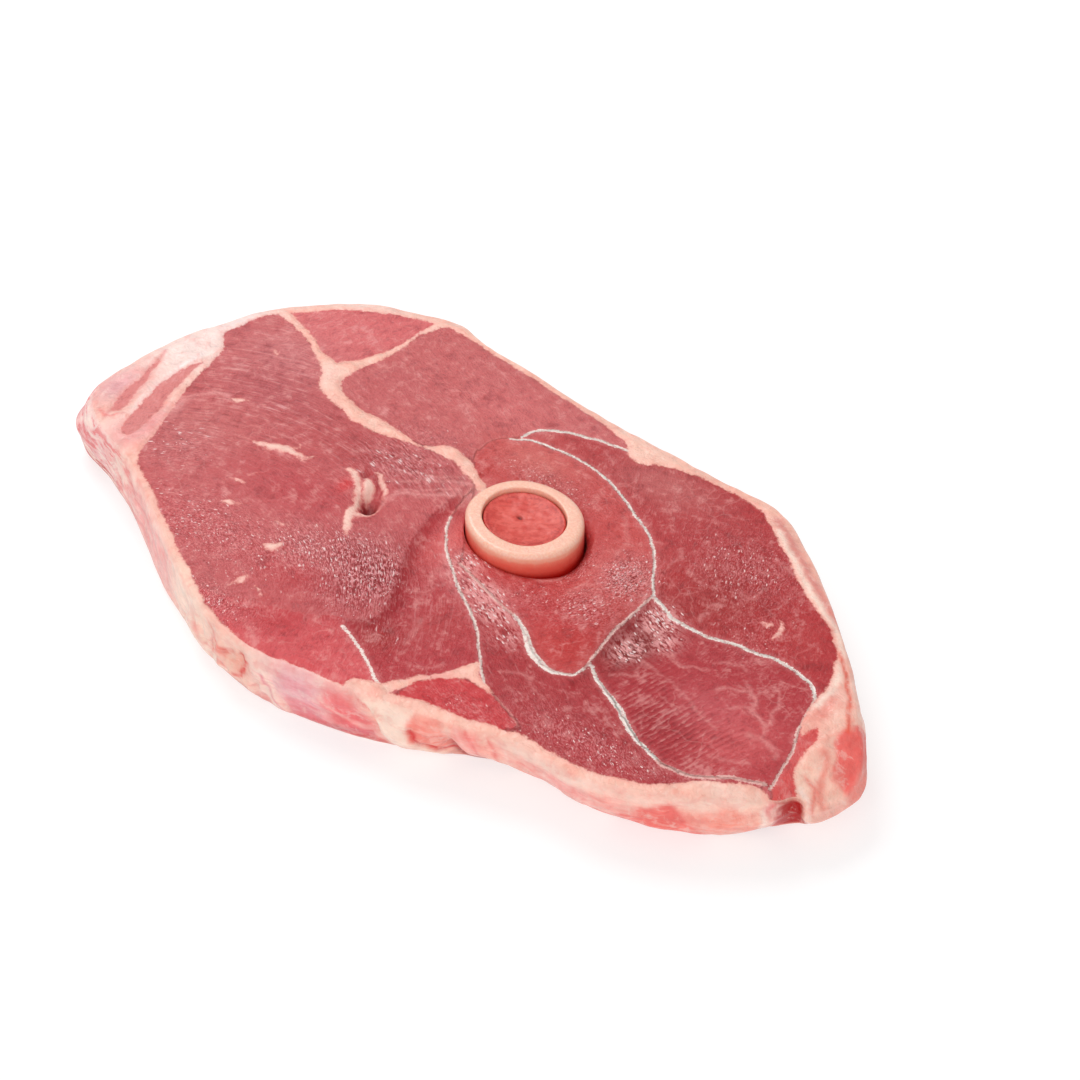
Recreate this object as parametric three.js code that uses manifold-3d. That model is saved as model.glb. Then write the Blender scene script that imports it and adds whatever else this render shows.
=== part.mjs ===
// A raw bone-in lamb leg steak: one slice across the leg, lying flat on its lower cut face.
// Lean muscle is wrapped in a rim of fat, thick fat seams run in from the rim, and the sawn thigh bone stands
// a little proud of the meat with its marrow inside. Millimetres, +Z up, origin at the middle of the underside.
//
// Plan points are measured on the upper cut face, X along the steak and Y across it. Where a point has a third
// number, an edge gives how far its wall is tucked in at the table, and a seam gives half its width.

import * as THREE from "three";
import { mergeVertices } from "three/addons/utils/BufferGeometryUtils.js";
import Module from "manifold-3d";

const wasm = await Module();
wasm.setup();

// ---------------------------------------------------------------- driving dimensions

const thickness = 13; // table to the cut face, at the rim
const gap = 0.3; // clearance between neighbouring pieces
const edgeStep = 3.6; // length of one facet round an edge
const reliefStep = 4.6; // grid of the cut face's swells
const seamStep = 2; // length of one facet along a fat seam
const headroom = 6; // how far the cutting tools reach past the cut face
const cutBlock = { size: [190, 110], at: [-4, 3], down: 8 }; // holds the whole steak, and reaches below the table

const bone = { at: [1.1, 7.4], reach: [11.5, 10.4], turn: -12, proud: 3.4, bevel: 0.7 };
const hollow = { shift: [-0.3, 0.3], reach: [8.5, 7.4] }; // the bone's marrow hole
const marrow = { below: 0.8, dish: 0.7, edge: 0.4 }; // its face lies below the bone's, dips, and has a soft edge
const roundSteps = 40; // facets round the bone

const bulge = 0.8; // the outer wall swells out by this much at half height
const tip = { from: 63, lift: 21, room: [60, 110, 20] }; // from this X the right-hand end lifts, at this angle
const fold = { depth: 0.55, pitch: 17, lean: 1 }; // soft folds round the outer wall
const round = { in: 0.7, down: 1.2 }; // the rim's upper edge is rounded off by this much
const groove = { above: 1, runOut: 0.1 }; // a groove's cutter starts above the cut face and runs out at its ends

// Wall profiles, bottom to top: share of the height, of the edge's tuck and of the bulge, and drawn in at the top.
const outerWall = [
  [0, 1, 0, 0],
  [0.12, 0.8, 0.15, 0],
  [0.3, 0.5, 0.6, 0],
  [0.58, 0.15, 1, 0],
  [1 - round.down / thickness, 0, 0.3, 0],
  [1.02, 0, 0, round.in],
  [1 + headroom / thickness, 0, 0, round.in],
];
const innerWall = [
  [0, 1, 0, 0],
  [0.3, 0.5, 0, 0],
  [0.58, 0.15, 0, 0],
  [1, 0, 0, 0],
  [1 + headroom / thickness, 0, 0, 0],
];

// Lumps of fat on the front wall: place along X, height, reach along and up, how far they stand out.
const lumps = [
  { at: [11.5, 4], reach: [4.4, 5], out: 1.2 }, // a fold that hangs down from the front tongue of fat
  { at: [-20.5, 3.6], reach: [3.4, 3.4], out: 1.1 },
  { at: [64, 6.5], reach: [8, 5], out: 0.6 },
];

// Outer edge of the steak, clockwise from its left end.
const rimEdge = [
  [-92, -4, -2], [-91, 5, -1.5], [-88, 15, 1], [-83.5, 24, 2.6], [-78.5, 32.3, 2.4], [-71, 39.5, 2.2],
  [-63.5, 45, 2.2], [-55, 47.6, 2.2], [-46, 49.8, 2.2], [-36, 47.3, 2.2], [-25.5, 46.2, 2.2], [-10, 43.4, 2.2],
  [5, 42, 2.4], [22, 40.7, 2.4], [36, 39.6, 2.4], [46, 33, 2.4], [58, 22.6, 2.4], [69, 10.8, 2.2],
  [76.6, 1.2, 2], [80.4, -4.4, 2], [81.6, -9, 3], [80.6, -14, 3], [78.4, -17.6, 1.2], [75.8, -18, 0.4],
  [74.2, -21.2, 3], [66, -27.6, 5], [55, -33.8, 6.4], [44, -37.1, 6.8], [31, -37, 6.8], [21, -39.7, 5.8],
  [14.5, -41, 4.4], [5, -42.9, 2], [-8, -44.5, 0.8], [-20, -45.4, 0.8], [-32, -43.2, 1.2], [-45, -36.8, 0.2],
  [-58, -28.4, -0.6], [-70, -21, -0.4], [-81, -16.4, 0.6], [-90, -10, -1],
];

// Where lean meets the fat rim, clockwise from the left. At the right it runs out through the rim's notch.
const leanEdge = [
  [-81.3, 19.6, 2], [-79.8, 24, 2.4], [-78.3, 29, 2.4], [-75.6, 33.2, 2.2], [-69, 39.2, 2.2], [-62.6, 43.3, 2.2],
  [-55, 45.7, 2.2], [-48, 47.2, 2.2], [-42, 46.8, 2.2], [-33, 45.2, 2.2], [-24, 44.2, 2.2], [-10, 41.5, 2.2],
  [-2.5, 39.9, 2.2], [2.5, 38.1, 2.2], [4.6, 35.8, 2.2], [7.5, 35.2, 2.2], [13, 37.4, 2.2], [22, 38.4, 2.4],
  [32, 37.6, 2.4], [38, 33.8, 2.4], [46, 27.2, 2.4], [54, 21.6, 2.4], [60.3, 18, 2.4], [64.5, 12.6, 2.4],
  [66.9, 6, 2], [67.3, 0.5, 1.4], [68.2, -4.2, 1], [69.4, -6.8, 0.6], [70.6, -3.4, 0.4], [71.8, -5.5, 0.4],
  [72.2, -10.5, 0.4], [73.2, -15, 0.4], [75.2, -17.2, 0.4], [78.6, -20.6, 0.4], [75.6, -23.8, 0.4],
  [71.4, -21.2, 3], [65, -23.8, 5], [60.2, -27.4, 6], [55.4, -31.2, 6.4], [49, -34, 6.8], [41, -35.2, 6.8],
  [32, -34.7, 6.8], [27.6, -35.8, 6.6], [20, -37.3, 5.6], [12, -38.4, 3], [5, -40.8, 1.6], [-3, -42.1, 1],
  [-13, -43, 0.8], [-22, -43.2, 0.8], [-31, -41.2, 1.2], [-41, -36.8, 0.4], [-52, -30.3, 0], [-62, -23.8, 0],
  [-69.8, -18.6, 0.4], [-71.3, -13, 1], [-73.2, -6, 0.8], [-75.6, 1, 0.6], [-77, 9, 0.8], [-78, 15, 1.2],
];

// Thick fat seams, which run right through the steak and start inside the rim.
const fatSeams = [
  // left and right arm of the fork, then its stem in to the bone
  [[-80.5, 34, 2.4], [-74.8, 31.4, 1.2], [-70, 29.8, 0.8], [-66, 27.9, 0.75], [-62.5, 25.6, 0.9], [-59, 24.4, 1.7],
    [-55.5, 22, 2.4]],
  [[-47, 49.6, 2.4], [-48.7, 46, 1.1], [-49.6, 42, 0.6], [-50, 38, 0.6], [-50.9, 34.5, 0.8], [-51.8, 31, 1.1],
    [-53.4, 27.8, 1.6], [-55, 24.6, 2.4], [-55.5, 21, 2.2]],
  [[-55.8, 23.5, 2.2], [-54.2, 19.6, 2.4], [-51.2, 17.2, 1.8], [-47, 15.9, 1.5], [-42.5, 14.9, 1.9], [-38, 14.8, 1.8],
    [-34, 14.8, 1.2], [-30.5, 14.9, 0.6], [-28, 15.3, 0.6], [-25.3, 16.3, 1.2], [-22.4, 16.6, 1.7], [-19.4, 16.1, 1.6],
    [-16.6, 14.6, 1.3], [-13.6, 13, 1], [-8, 10.4, 1.2]],
  // tongue of fat from the front, and its short side branch
  [[2.5, -43, 3.4], [5.6, -39.6, 1.8], [7.3, -36.6, 1.1], [8.8, -34.3, 0.7], [10.8, -32, 0.6], [12.8, -29.8, 1],
    [14.8, -28, 1.9], [15, -25.6, 0.6]],
  [[14.5, -28.2, 1.4], [18, -29.1, 0.8], [21, -29.9, 0.4]],
];

// Lean muscles set in the fat at the two ends: two strips on the left, one at the right-hand tip.
const islands = {
  lean_strip_inner: [
    [-78.9, 11], [-78.3, 6], [-77.4, 0], [-75.8, -6], [-75, -12], [-76, -15.4], [-78, -14.4], [-79.5, -10],
    [-80.8, -4], [-81.4, 3], [-80.2, 8],
  ],
  lean_strip_outer: [[-86.9, 7], [-85.3, 3], [-83.6, -3], [-82.3, -9], [-83.8, -10.6], [-85.6, -5], [-86.2, 1]],
  lean_end: [
    [75.4, 0.6], [77, 3], [84, -4], [86, -10], [82.6, -11.4], [78.4, -9], [75.6, -6.4], [74.7, -2.6],
  ],
};

// Thin membranes between muscles show as grooves: points, then the groove's width and depth.
const grooves = [
  { width: 1.6, depth: 0.9, path: [[4.4, 36.2], [0, 36.6], [-4, 35.6], [-9, 34], [-13.3, 31.2], [-15.6, 28.2],
    [-18.6, 25.4], [-19.8, 22], [-19, 18.4]] },
  { width: 1.4, depth: 0.9, path: [[-16, 27.2], [-9, 29], [-2, 29.5], [4, 28.7], [12, 24.7], [20, 19.5], [26, 13],
    [29.4, 7.4], [29.6, 0], [29.3, -8], [30.3, -15], [29.6, -18.2], [25.5, -19.2], [21, -17.4], [15, -13.6],
    [8, -10.8], [1, -8]] },
  { width: 1.4, depth: 0.8, path: [[-13.4, 7.5], [-12.3, 2.5], [-8, -4], [-3, -9.2], [4, -14.7], [9.2, -18.8],
    [12.5, -23], [14.6, -25.4]] },
  { width: 1.8, depth: 0.7, path: [[-14.9, 10.5], [-15.4, 3], [-14.2, -6], [-10.6, -15.6], [-7.2, -22], [-6.6, -27],
    [-9.6, -30.6], [-16, -33], [-24, -35.6], [-31, -39]] },
  { width: 1.2, depth: 0.7, path: [[-9.6, -31.2], [-5, -33.4], [0, -36.8], [4.6, -39.4]] },
  { width: 1.4, depth: 0.9, path: [[29.5, 7], [34, 5], [41, 3.7], [49, 5], [57, 5.8], [64, 4.6], [67.4, 0.4],
    [69.4, -8.5], [71, -15], [71.8, -20]] },
  { width: 1.4, depth: 0.8, path: [[30.4, -13.6], [37, -17.6], [44, -22.6], [50, -25.4], [56, -26.3], [64, -24]] },
  { width: 1.2, depth: 0.5, path: [[21, -29.9], [25, -31.5], [29.5, -33.4]] },
];

// Soft rises and dips of the upper cut face: centre, reach along and across, turn in degrees, rise.
const swells = [
  { at: [-45, -8], reach: [34, 22], turn: -12, rise: 1.1 }, // the big left muscle
  { at: [-14, -21], reach: [7, 12], turn: 20, rise: 0.9 }, // its lip, over the muscle to the right of it
  { at: [-4, -17], reach: [5, 15], turn: 25, rise: -0.9 },
  { at: [-30, 31], reach: [22, 12], turn: -8, rise: 0.7 },
  { at: [-62, 37], reach: [11, 7], turn: 35, rise: 0.6 },
  { at: [36, 22], reach: [22, 12], turn: -30, rise: 0.9 },
  { at: [21, 1], reach: [8, 15], turn: 8, rise: 1.3 }, // the muscle that holds the bone
  { at: [14.5, 3], reach: [3.5, 7], turn: 20, rise: -1.5 }, // crevice beside the bone
  { at: [33.5, -4], reach: [4, 8], turn: 0, rise: -1.4 },
  { at: [54, -11], reach: [14, 10], turn: -10, rise: 0.7 },
  { at: [26, -26], reach: [16, 6], turn: -12, rise: 0.4 },
  { at: [-27, -2.5], reach: [2.6, 4.6], turn: 28, rise: -1.8 }, // open vessel
  { at: [-92, -6], reach: [14, 20], turn: 0, rise: -1.2 }, // the ends droop
  { at: [86, -14], reach: [11, 13], turn: 0, rise: -5.5 },
];

const finishes = {
  lean: { color: 0xca696b, roughness: 0.38 },
  fat: { color: 0xf5c4b3, roughness: 0.42 },
  bone: { color: 0xf5ccb0, roughness: 0.5 },
  marrow: { color: 0xd6706b, roughness: 0.45 },
};
const finishOf = { leg_bone: "bone", marrow: "marrow", fat: "fat" }; // every other piece is lean

// ---------------------------------------------------------------- curves

const along = (points, closed) =>
  new THREE.CatmullRomCurve3(points.map(([x, y, third = 0]) => new THREE.Vector3(x, y, third)), closed, "centripetal");

// Evenly spaced samples of a curve, each with its unit normal, which points left of the way along.
function samples(points, closed, step) {
  const curve = along(points, closed);
  const count = Math.max(4, Math.round(curve.getLength() / step));
  const found = curve.getSpacedPoints(count);
  if (closed) found.pop();
  return found.map((point, i) => {
    const last = found.length - 1;
    const before = found[closed ? (i + last) % found.length : Math.max(0, i - 1)];
    const after = found[closed ? (i + 1) % found.length : Math.min(last, i + 1)];
    const way = new THREE.Vector2(after.x - before.x, after.y - before.y).normalize();
    return { x: point.x, y: point.y, third: point.z, normal: new THREE.Vector2(-way.y, way.x) };
  });
}

// Height of the upper cut face.
function cutFace(x, y) {
  let height = thickness;
  for (const { at, reach, turn, rise } of swells) {
    const angle = THREE.MathUtils.degToRad(turn);
    const dx = x - at[0];
    const dy = y - at[1];
    const u = (dx * Math.cos(angle) + dy * Math.sin(angle)) / reach[0];
    const v = (dy * Math.cos(angle) - dx * Math.sin(angle)) / reach[1];
    height += rise * Math.exp(-(u * u + v * v));
  }
  return height;
}

// ---------------------------------------------------------------- solids

function solidOf(geometry) {
  const bare = geometry.clone();
  bare.deleteAttribute("normal");
  bare.deleteAttribute("uv");
  const merged = mergeVertices(bare, 1e-4);
  return new wasm.Manifold(
    new wasm.Mesh({
      numProp: 3,
      vertProperties: new Float32Array(merged.attributes.position.array),
      triVerts: new Uint32Array(merged.index.array),
    }),
  );
}

function geometryOf(solid) {
  const mesh = solid.getMesh();
  const geometry = new THREE.BufferGeometry();
  geometry.setAttribute("position", new THREE.BufferAttribute(new Float32Array(mesh.vertProperties), 3));
  geometry.setIndex(new THREE.BufferAttribute(mesh.triVerts, 1));
  geometry.computeVertexNormals();
  return geometry;
}

// Rings of equal length joined bottom to top and capped at both ends, each ring running clockwise.
function loft(rings) {
  const size = rings[0].length;
  const cap = THREE.ShapeUtils.triangulateShape(rings[0].map(([x, y]) => new THREE.Vector2(x, y)), []);
  const index = [];
  for (let level = 0; level + 1 < rings.length; level++) {
    for (let i = 0; i < size; i++) {
      const a = level * size + i;
      const b = level * size + ((i + 1) % size);
      index.push(a, a + size, b, b, a + size, b + size);
    }
  }
  const top = (rings.length - 1) * size;
  for (const [a, b, c] of cap) {
    index.push(a, c, b, top + a, top + b, top + c);
  }
  const geometry = new THREE.BufferGeometry();
  geometry.setAttribute("position", new THREE.Float32BufferAttribute(rings.flat(2), 3));
  geometry.setIndex(index);
  return solidOf(geometry);
}

// How far the lumps of fat stand out at a place on the outer wall.
function lumpOut(x, y, z) {
  if (y > 0) return 0;
  return lumps.reduce((total, { at, reach, out }) => {
    const off = ((x - at[0]) / reach[0]) ** 2 + ((z - at[1]) / reach[1]) ** 2;
    return total + out * Math.exp(-off);
  }, 0);
}

// A body inside an edge. Each level of the profile says how high it is, how much of the edge's tuck it takes,
// how far it bulges, and how far it is drawn in by the rounding of the upper edge.
function walled(edge, profile, grow, lumpy = false) {
  const points = samples(edge, true, edgeStep);
  const rings = profile.map(([level, tuck, out, drawn]) =>
    points.map(({ x, y, third, normal }, i) => {
      const ripple = fold.depth * Math.sin(((i * edgeStep) / fold.pitch + level * fold.lean) * 2 * Math.PI);
      const height = level * cutFace(x, y);
      const lump = lumpy ? lumpOut(x, y, height) : 0;
      const shift = grow - drawn - tuck * third + out * (bulge + ripple) + lump;
      return [x + normal.x * shift, y + normal.y * shift, height];
    }),
  );
  return loft(rings);
}

// Everything below the upper cut face, over a rectangle that holds the whole steak.
function belowCutFace() {
  const [width, depth] = cutBlock.size;
  const height = thickness + cutBlock.down;
  const [columns, rows] = cutBlock.size.map((length) => Math.round(length / reliefStep));
  const block = new THREE.BoxGeometry(width, depth, height, columns, rows, 1);
  block.translate(...cutBlock.at, thickness - height / 2);
  const place = block.attributes.position;
  for (let i = 0; i < place.count; i++) {
    if (place.getZ(i) > 0) place.setZ(i, cutFace(place.getX(i), place.getY(i)));
  }
  return solidOf(block);
}

// The room under the lifted right-hand end.
function underTip() {
  const [length, depth, height] = tip.room;
  const block = new THREE.BoxGeometry(length, depth, height).translate(length / 2, 0, -height / 2);
  return solidOf(block.rotateY(THREE.MathUtils.degToRad(-tip.lift)).translate(tip.from, 0, 0));
}

// A straight-walled body through the whole steak, from a closed outline.
function prism(outline) {
  const geometry = new THREE.ExtrudeGeometry(new THREE.Shape(outline.map(([x, y]) => new THREE.Vector2(x, y))), {
    depth: thickness + 2 * headroom,
    bevelEnabled: false,
    steps: 1,
  });
  return solidOf(geometry.translate(0, 0, -headroom));
}

const island = (points, grow) =>
  prism(samples(points, true, edgeStep).map(({ x, y, normal }) => [x + normal.x * grow, y + normal.y * grow]));

// A seam as wide as its points say.
function band(points, grow) {
  const path = samples(points, false, seamStep);
  const side = (way) =>
    path.map(({ x, y, third, normal }) => {
      const half = way * (third + grow);
      return [x + normal.x * half, y + normal.y * half];
    });
  return prism([...side(1), ...side(-1).reverse()]);
}

// A V-shaped cutter that follows the cut face along a path and runs out at both ends.
function grooveCutter({ width, depth, path }) {
  const points = samples(path, false, edgeStep);
  const last = points.length - 1;
  const rings = points.map(({ x, y, normal }, i) => {
    const bite = i === 0 || i === last ? groove.runOut : depth;
    const half = ((width / 2) * (bite + groove.above)) / depth;
    const face = cutFace(x, y);
    const top = face + groove.above;
    return [
      [x + normal.x * half, y + normal.y * half, top],
      [x, y, face - bite],
      [x - normal.x * half, y - normal.y * half, top],
    ];
  });
  const index = [0, 1, 2, last * 3, last * 3 + 2, last * 3 + 1];
  for (let i = 0; i < last; i++) {
    for (let k = 0; k < 3; k++) {
      const a = i * 3 + k;
      const b = i * 3 + ((k + 1) % 3);
      index.push(a, a + 3, b, b, a + 3, b + 3);
    }
  }
  const geometry = new THREE.BufferGeometry();
  geometry.setAttribute("position", new THREE.Float32BufferAttribute(rings.flat(2), 3));
  geometry.setIndex(index);
  return solidOf(geometry);
}

// A post of oval section round the bone's line, from a profile of [share of its radius, height] pairs.
function ovalPost(profile, reach, shift = [0, 0]) {
  const outline = profile.map(([share, z]) => new THREE.Vector2(share * reach[0], z));
  const geometry = new THREE.LatheGeometry(outline, roundSteps)
    .rotateX(Math.PI / 2)
    .scale(1, reach[1] / reach[0], 1)
    .rotateZ(THREE.MathUtils.degToRad(bone.turn))
    .translate(bone.at[0] + shift[0], bone.at[1] + shift[1], 0);
  return solidOf(geometry);
}

// ---------------------------------------------------------------- the steak's pieces

const slab = walled(rimEdge, outerWall, 0, true).intersect(belowCutFace()).subtract(underTip());
const seamFat = (grow) => fatSeams.map((seam) => band(seam, grow)).reduce((all, one) => all.add(one));
const boneTop = thickness + bone.proud;

const socket = ovalPost(
  [[0, -headroom], [1, -headroom], [1, boneTop], [0, boneTop]],
  bone.reach.map((r) => r + gap),
);

function leanBodies() {
  const whole = walled(leanEdge, innerWall, 0).intersect(slab).subtract(seamFat(gap)).subtract(socket);
  const grooved = grooves.map(grooveCutter).reduce((rest, cutter) => rest.subtract(cutter), whole);
  const [main, back] = grooved.decompose().sort((a, b) => b.volume() - a.volume());
  return { lean_main: main, lean_back: back };
}

function fatBody() {
  let fat = slab.subtract(walled(leanEdge, innerWall, gap)).add(seamFat(0).intersect(slab)).subtract(socket);
  for (const outline of Object.values(islands)) fat = fat.subtract(island(outline, gap));
  return fat.decompose().sort((a, b) => b.volume() - a.volume())[0];
}

function boneRing() {
  const outer = ovalPost(
    [
      [0, 0],
      [1, 0],
      [1, boneTop - 2 * bone.bevel],
      [1 - bone.bevel / bone.reach[0] / 3, boneTop - bone.bevel / 2],
      [1 - bone.bevel / bone.reach[0], boneTop],
      [0, boneTop],
    ],
    bone.reach,
  );
  const hole = ovalPost(
    [[0, -headroom], [1, -headroom], [1, boneTop + headroom], [0, boneTop + headroom]],
    hollow.reach,
    hollow.shift,
  );
  return outer.subtract(hole);
}

function marrowPlug() {
  const face = boneTop - marrow.below;
  const reach = hollow.reach.map((r) => r - gap);
  const dished = [1, 0.7, 0.35, 0].map((share) => {
    return [share * (1 - marrow.edge / reach[0]), face - marrow.dish * (1 - share ** 2)];
  });
  return ovalPost([[0, 0], [1, 0], [1, face - marrow.edge], ...dished], reach, hollow.shift);
}

const pieces = { ...leanBodies() };
for (const [name, outline] of Object.entries(islands)) pieces[name] = island(outline, 0).intersect(slab);
pieces.fat = fatBody();
pieces.leg_bone = boneRing();
pieces.marrow = marrowPlug();

function finish(piece) {
  const name = finishOf[piece] ?? "lean";
  return new THREE.MeshStandardMaterial({ ...finishes[name], metalness: 0, name });
}

const steak = new THREE.Group();
for (const [name, solid] of Object.entries(pieces)) {
  const mesh = new THREE.Mesh(geometryOf(solid), finish(name));
  mesh.name = name;
  steak.add(mesh);
}

// The origin goes to the middle of the underside.
const extent = new THREE.Box3().setFromObject(steak);
const middle = extent.getCenter(new THREE.Vector3());
steak.position.set(-middle.x, -middle.y, -extent.min.z);

export default steak;
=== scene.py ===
"""Looks of a raw bone-in lamb leg steak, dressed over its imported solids.

Plan points are in millimetres on the upper cut face, X along the steak and Y across it, with the bone's middle
at BONE_AT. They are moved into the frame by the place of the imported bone.
"""
import math

import bpy
import numpy as np
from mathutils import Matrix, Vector
from mathutils.geometry import delaunay_2d_cdt
from mathutils.kdtree import KDTree


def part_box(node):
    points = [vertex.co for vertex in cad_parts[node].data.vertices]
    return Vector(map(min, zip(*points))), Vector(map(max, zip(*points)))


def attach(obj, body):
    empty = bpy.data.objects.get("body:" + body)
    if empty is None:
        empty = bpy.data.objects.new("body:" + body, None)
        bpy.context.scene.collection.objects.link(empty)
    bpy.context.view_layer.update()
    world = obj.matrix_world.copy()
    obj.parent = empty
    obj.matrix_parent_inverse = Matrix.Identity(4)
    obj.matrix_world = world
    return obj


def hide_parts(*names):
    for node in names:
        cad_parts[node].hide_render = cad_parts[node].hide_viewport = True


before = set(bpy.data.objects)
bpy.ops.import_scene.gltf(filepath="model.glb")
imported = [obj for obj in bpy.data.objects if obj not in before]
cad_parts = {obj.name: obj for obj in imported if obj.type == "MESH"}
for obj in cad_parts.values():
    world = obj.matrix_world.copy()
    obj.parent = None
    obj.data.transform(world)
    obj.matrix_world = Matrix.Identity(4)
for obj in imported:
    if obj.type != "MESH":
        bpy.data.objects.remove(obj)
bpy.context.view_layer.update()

MM = 0.001
SEED = 7
RIPPLE = 1.15  # from one fine ripple of the cut face to the next
SILK_TURN = math.radians(22)  # brings the lines of the drawn sheets onto X
GLOSS_HAZE, LIGHT_LEVEL, FAT_LEVEL = 0.072, 0.94, 0.95
LEVEL_WITH_LEAN = -0.5  # brings the mean of the fat's fine relief to that of the lean

# ---------------------------------------------------------------- sizes, in millimetres

THICKNESS = 13.0  # table to the cut face, at the rim
BONE_AT = (1.1, 7.4)
BONE_REACH = (11.5, 10.4)
BONE_TURN = math.radians(-12)
HOLLOW_SHIFT = (-0.3, 0.3)
HOLLOW_REACH = (8.5, 7.4)
SOCKET_GAP = 0.3
TIP_FROM, TIP_LIFT = 63.0, math.radians(21)  # from this X the right-hand end lifts off the table
BULGE = 0.8  # the wall swells out by this much at half height
RIM_IN, RIM_DOWN = 0.75, 1.5  # rounding of the rim's upper edge

TOP_STEP = 0.5  # spacing of the cut face's vertices
EDGE_STEP = 0.5  # spacing round the wall
WALL_LEVELS = 26
UNDER_STEP = 1.3  # spacing on the underside
SOCKET_TURNS, SOCKET_LEVELS = 132, 6

BONE_LOW, BONE_HIGH = (np.array(corner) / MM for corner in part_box("leg_bone"))
PLAN_SHIFT = (BONE_LOW[:2] + BONE_HIGH[:2]) / 2 - BONE_AT

# ---------------------------------------------------------------- the steak's lines
# A third number gives an edge's tuck at the table, or a seam's half width.

RIM_EDGE = [
    (-92, -4, -2), (-91, 5, -1.5), (-88, 15, 1), (-83.5, 24, 2.6), (-78.5, 32.3, 2.4), (-71, 39.5, 2.2),
    (-63.5, 45, 2.2), (-55, 47.6, 2.2), (-46, 49.8, 2.2), (-36, 47.3, 2.2), (-25.5, 46.2, 2.2), (-10, 43.4, 2.2),
    (5, 42, 2.4), (22, 40.7, 2.4), (36, 39.6, 2.4), (46, 33, 2.4), (58, 22.6, 2.4), (69, 10.8, 2.2),
    (76.6, 1.2, 2), (80.4, -4.4, 2), (81.6, -9, 3), (80.6, -14, 3), (78.4, -17.6, 1.2), (75.8, -18, 0.4),
    (74.2, -21.2, 3), (66, -27.6, 5), (55, -33.8, 6.4), (44, -37.1, 6.8), (31, -37, 6.8), (21, -39.7, 5.8),
    (14.5, -41, 4.4), (5, -42.9, 2), (-8, -44.5, 0.8), (-20, -45.4, 0.8), (-32, -43.2, 1.2), (-45, -36.8, 0.2),
    (-58, -28.4, -0.6), (-70, -21, -0.4), (-81, -16.4, 0.6), (-90, -10, -1),
]
LEAN_EDGE = [
    (-81.3, 19.6), (-79.8, 24), (-78.3, 29), (-75, 32.4), (-68.4, 37.6), (-62.2, 41.8), (-55, 45), (-48, 46.8),
    (-42, 47), (-33, 45.4), (-24, 44.4), (-10, 41.7), (-2.5, 40), (2.5, 38.1), (4.6, 35.8), (7.5, 35.2),
    (13, 37.5), (22, 38.5), (32, 37.7), (38, 33.8), (46, 27.2), (54, 21.6), (60.3, 18), (64.5, 12.6), (66.9, 6),
    (67.3, 0.5), (68.2, -4.2), (69.4, -6.8), (70.6, -3.4), (71.8, -5.5), (72.2, -10.5), (73.2, -15),
    (75.2, -17.2), (78.6, -20.6), (75.6, -23.8), (71.4, -21.2), (65, -23.8), (60.2, -27.4), (55.4, -31.2),
    (49, -34), (41, -35.2), (32, -34.7), (27.6, -35.8), (20, -37.3), (12, -38.4), (5, -40.8), (-3, -43.4),
    (-13, -44.4), (-22, -44.8), (-31, -42.2), (-41, -37), (-52, -30.3), (-62, -23.8), (-69.8, -18.6), (-71.3, -13),
    (-73.2, -6), (-75.6, 1), (-77, 9), (-78, 15),
]
FAT_SEAMS = [
    [(-80.5, 34, 2.4), (-74.8, 31.4, 1.1), (-70, 29.8, 0.65), (-66, 27.9, 0.6), (-62.5, 25.6, 0.75), (-59, 24.4, 1.5),
     (-55.5, 22, 2.2)],
    [(-47, 49.6, 2.4), (-48.7, 46, 0.9), (-49.6, 42, 0.4), (-50, 38, 0.45), (-50.9, 34.5, 0.7), (-51.8, 31, 1),
     (-53.4, 27.8, 1.3), (-55, 24.6, 2.2), (-55.5, 21, 2)],
    [(-55.8, 23.5, 2), (-54.2, 19.6, 2), (-51.2, 17.2, 1.6), (-47, 15.9, 1.4), (-42.5, 14.9, 1.8), (-38, 14.8, 1.7),
     (-34, 14.8, 1.1), (-30.5, 14.9, 0.3), (-28, 15.3, 0.3), (-25.3, 16.3, 1.1), (-22.4, 16.6, 1.6), (-19.4, 16.1, 1.4),
     (-16.6, 14.6, 1.2), (-13.6, 13, 1), (-8, 10.4, 1)],
    [(2.5, -43, 3.4), (5.6, -39.6, 1.5), (7.3, -36.6, 0.9), (8.8, -34.3, 0.5), (10.8, -32, 0.5), (12.8, -29.8, 0.9),
     (14.8, -28, 1.8), (15, -25.6, 0.3)],
    [(14.5, -28.2, 1.4), (18, -29.1, 0.7), (21, -29.9, 0.25)],
]
LEAN_ISLANDS = [
    [(-78.9, 11), (-78.3, 6), (-77.4, 0), (-75.8, -6), (-75, -12), (-76, -15.4), (-78, -14.4), (-79.5, -10),
     (-80.8, -4), (-81.4, 3), (-80.2, 8)],
    [(-86.9, 7), (-85.3, 3), (-83.6, -3), (-82.3, -9), (-83.8, -10.6), (-85.6, -5), (-86.2, 1)],
]

END_PATCH = [(75.4, 0.6), (77, 3), (84, -4), (86, -10), (82.6, -11.4), (78.4, -9), (75.6, -6.4), (74.7, -2.6)]

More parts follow.
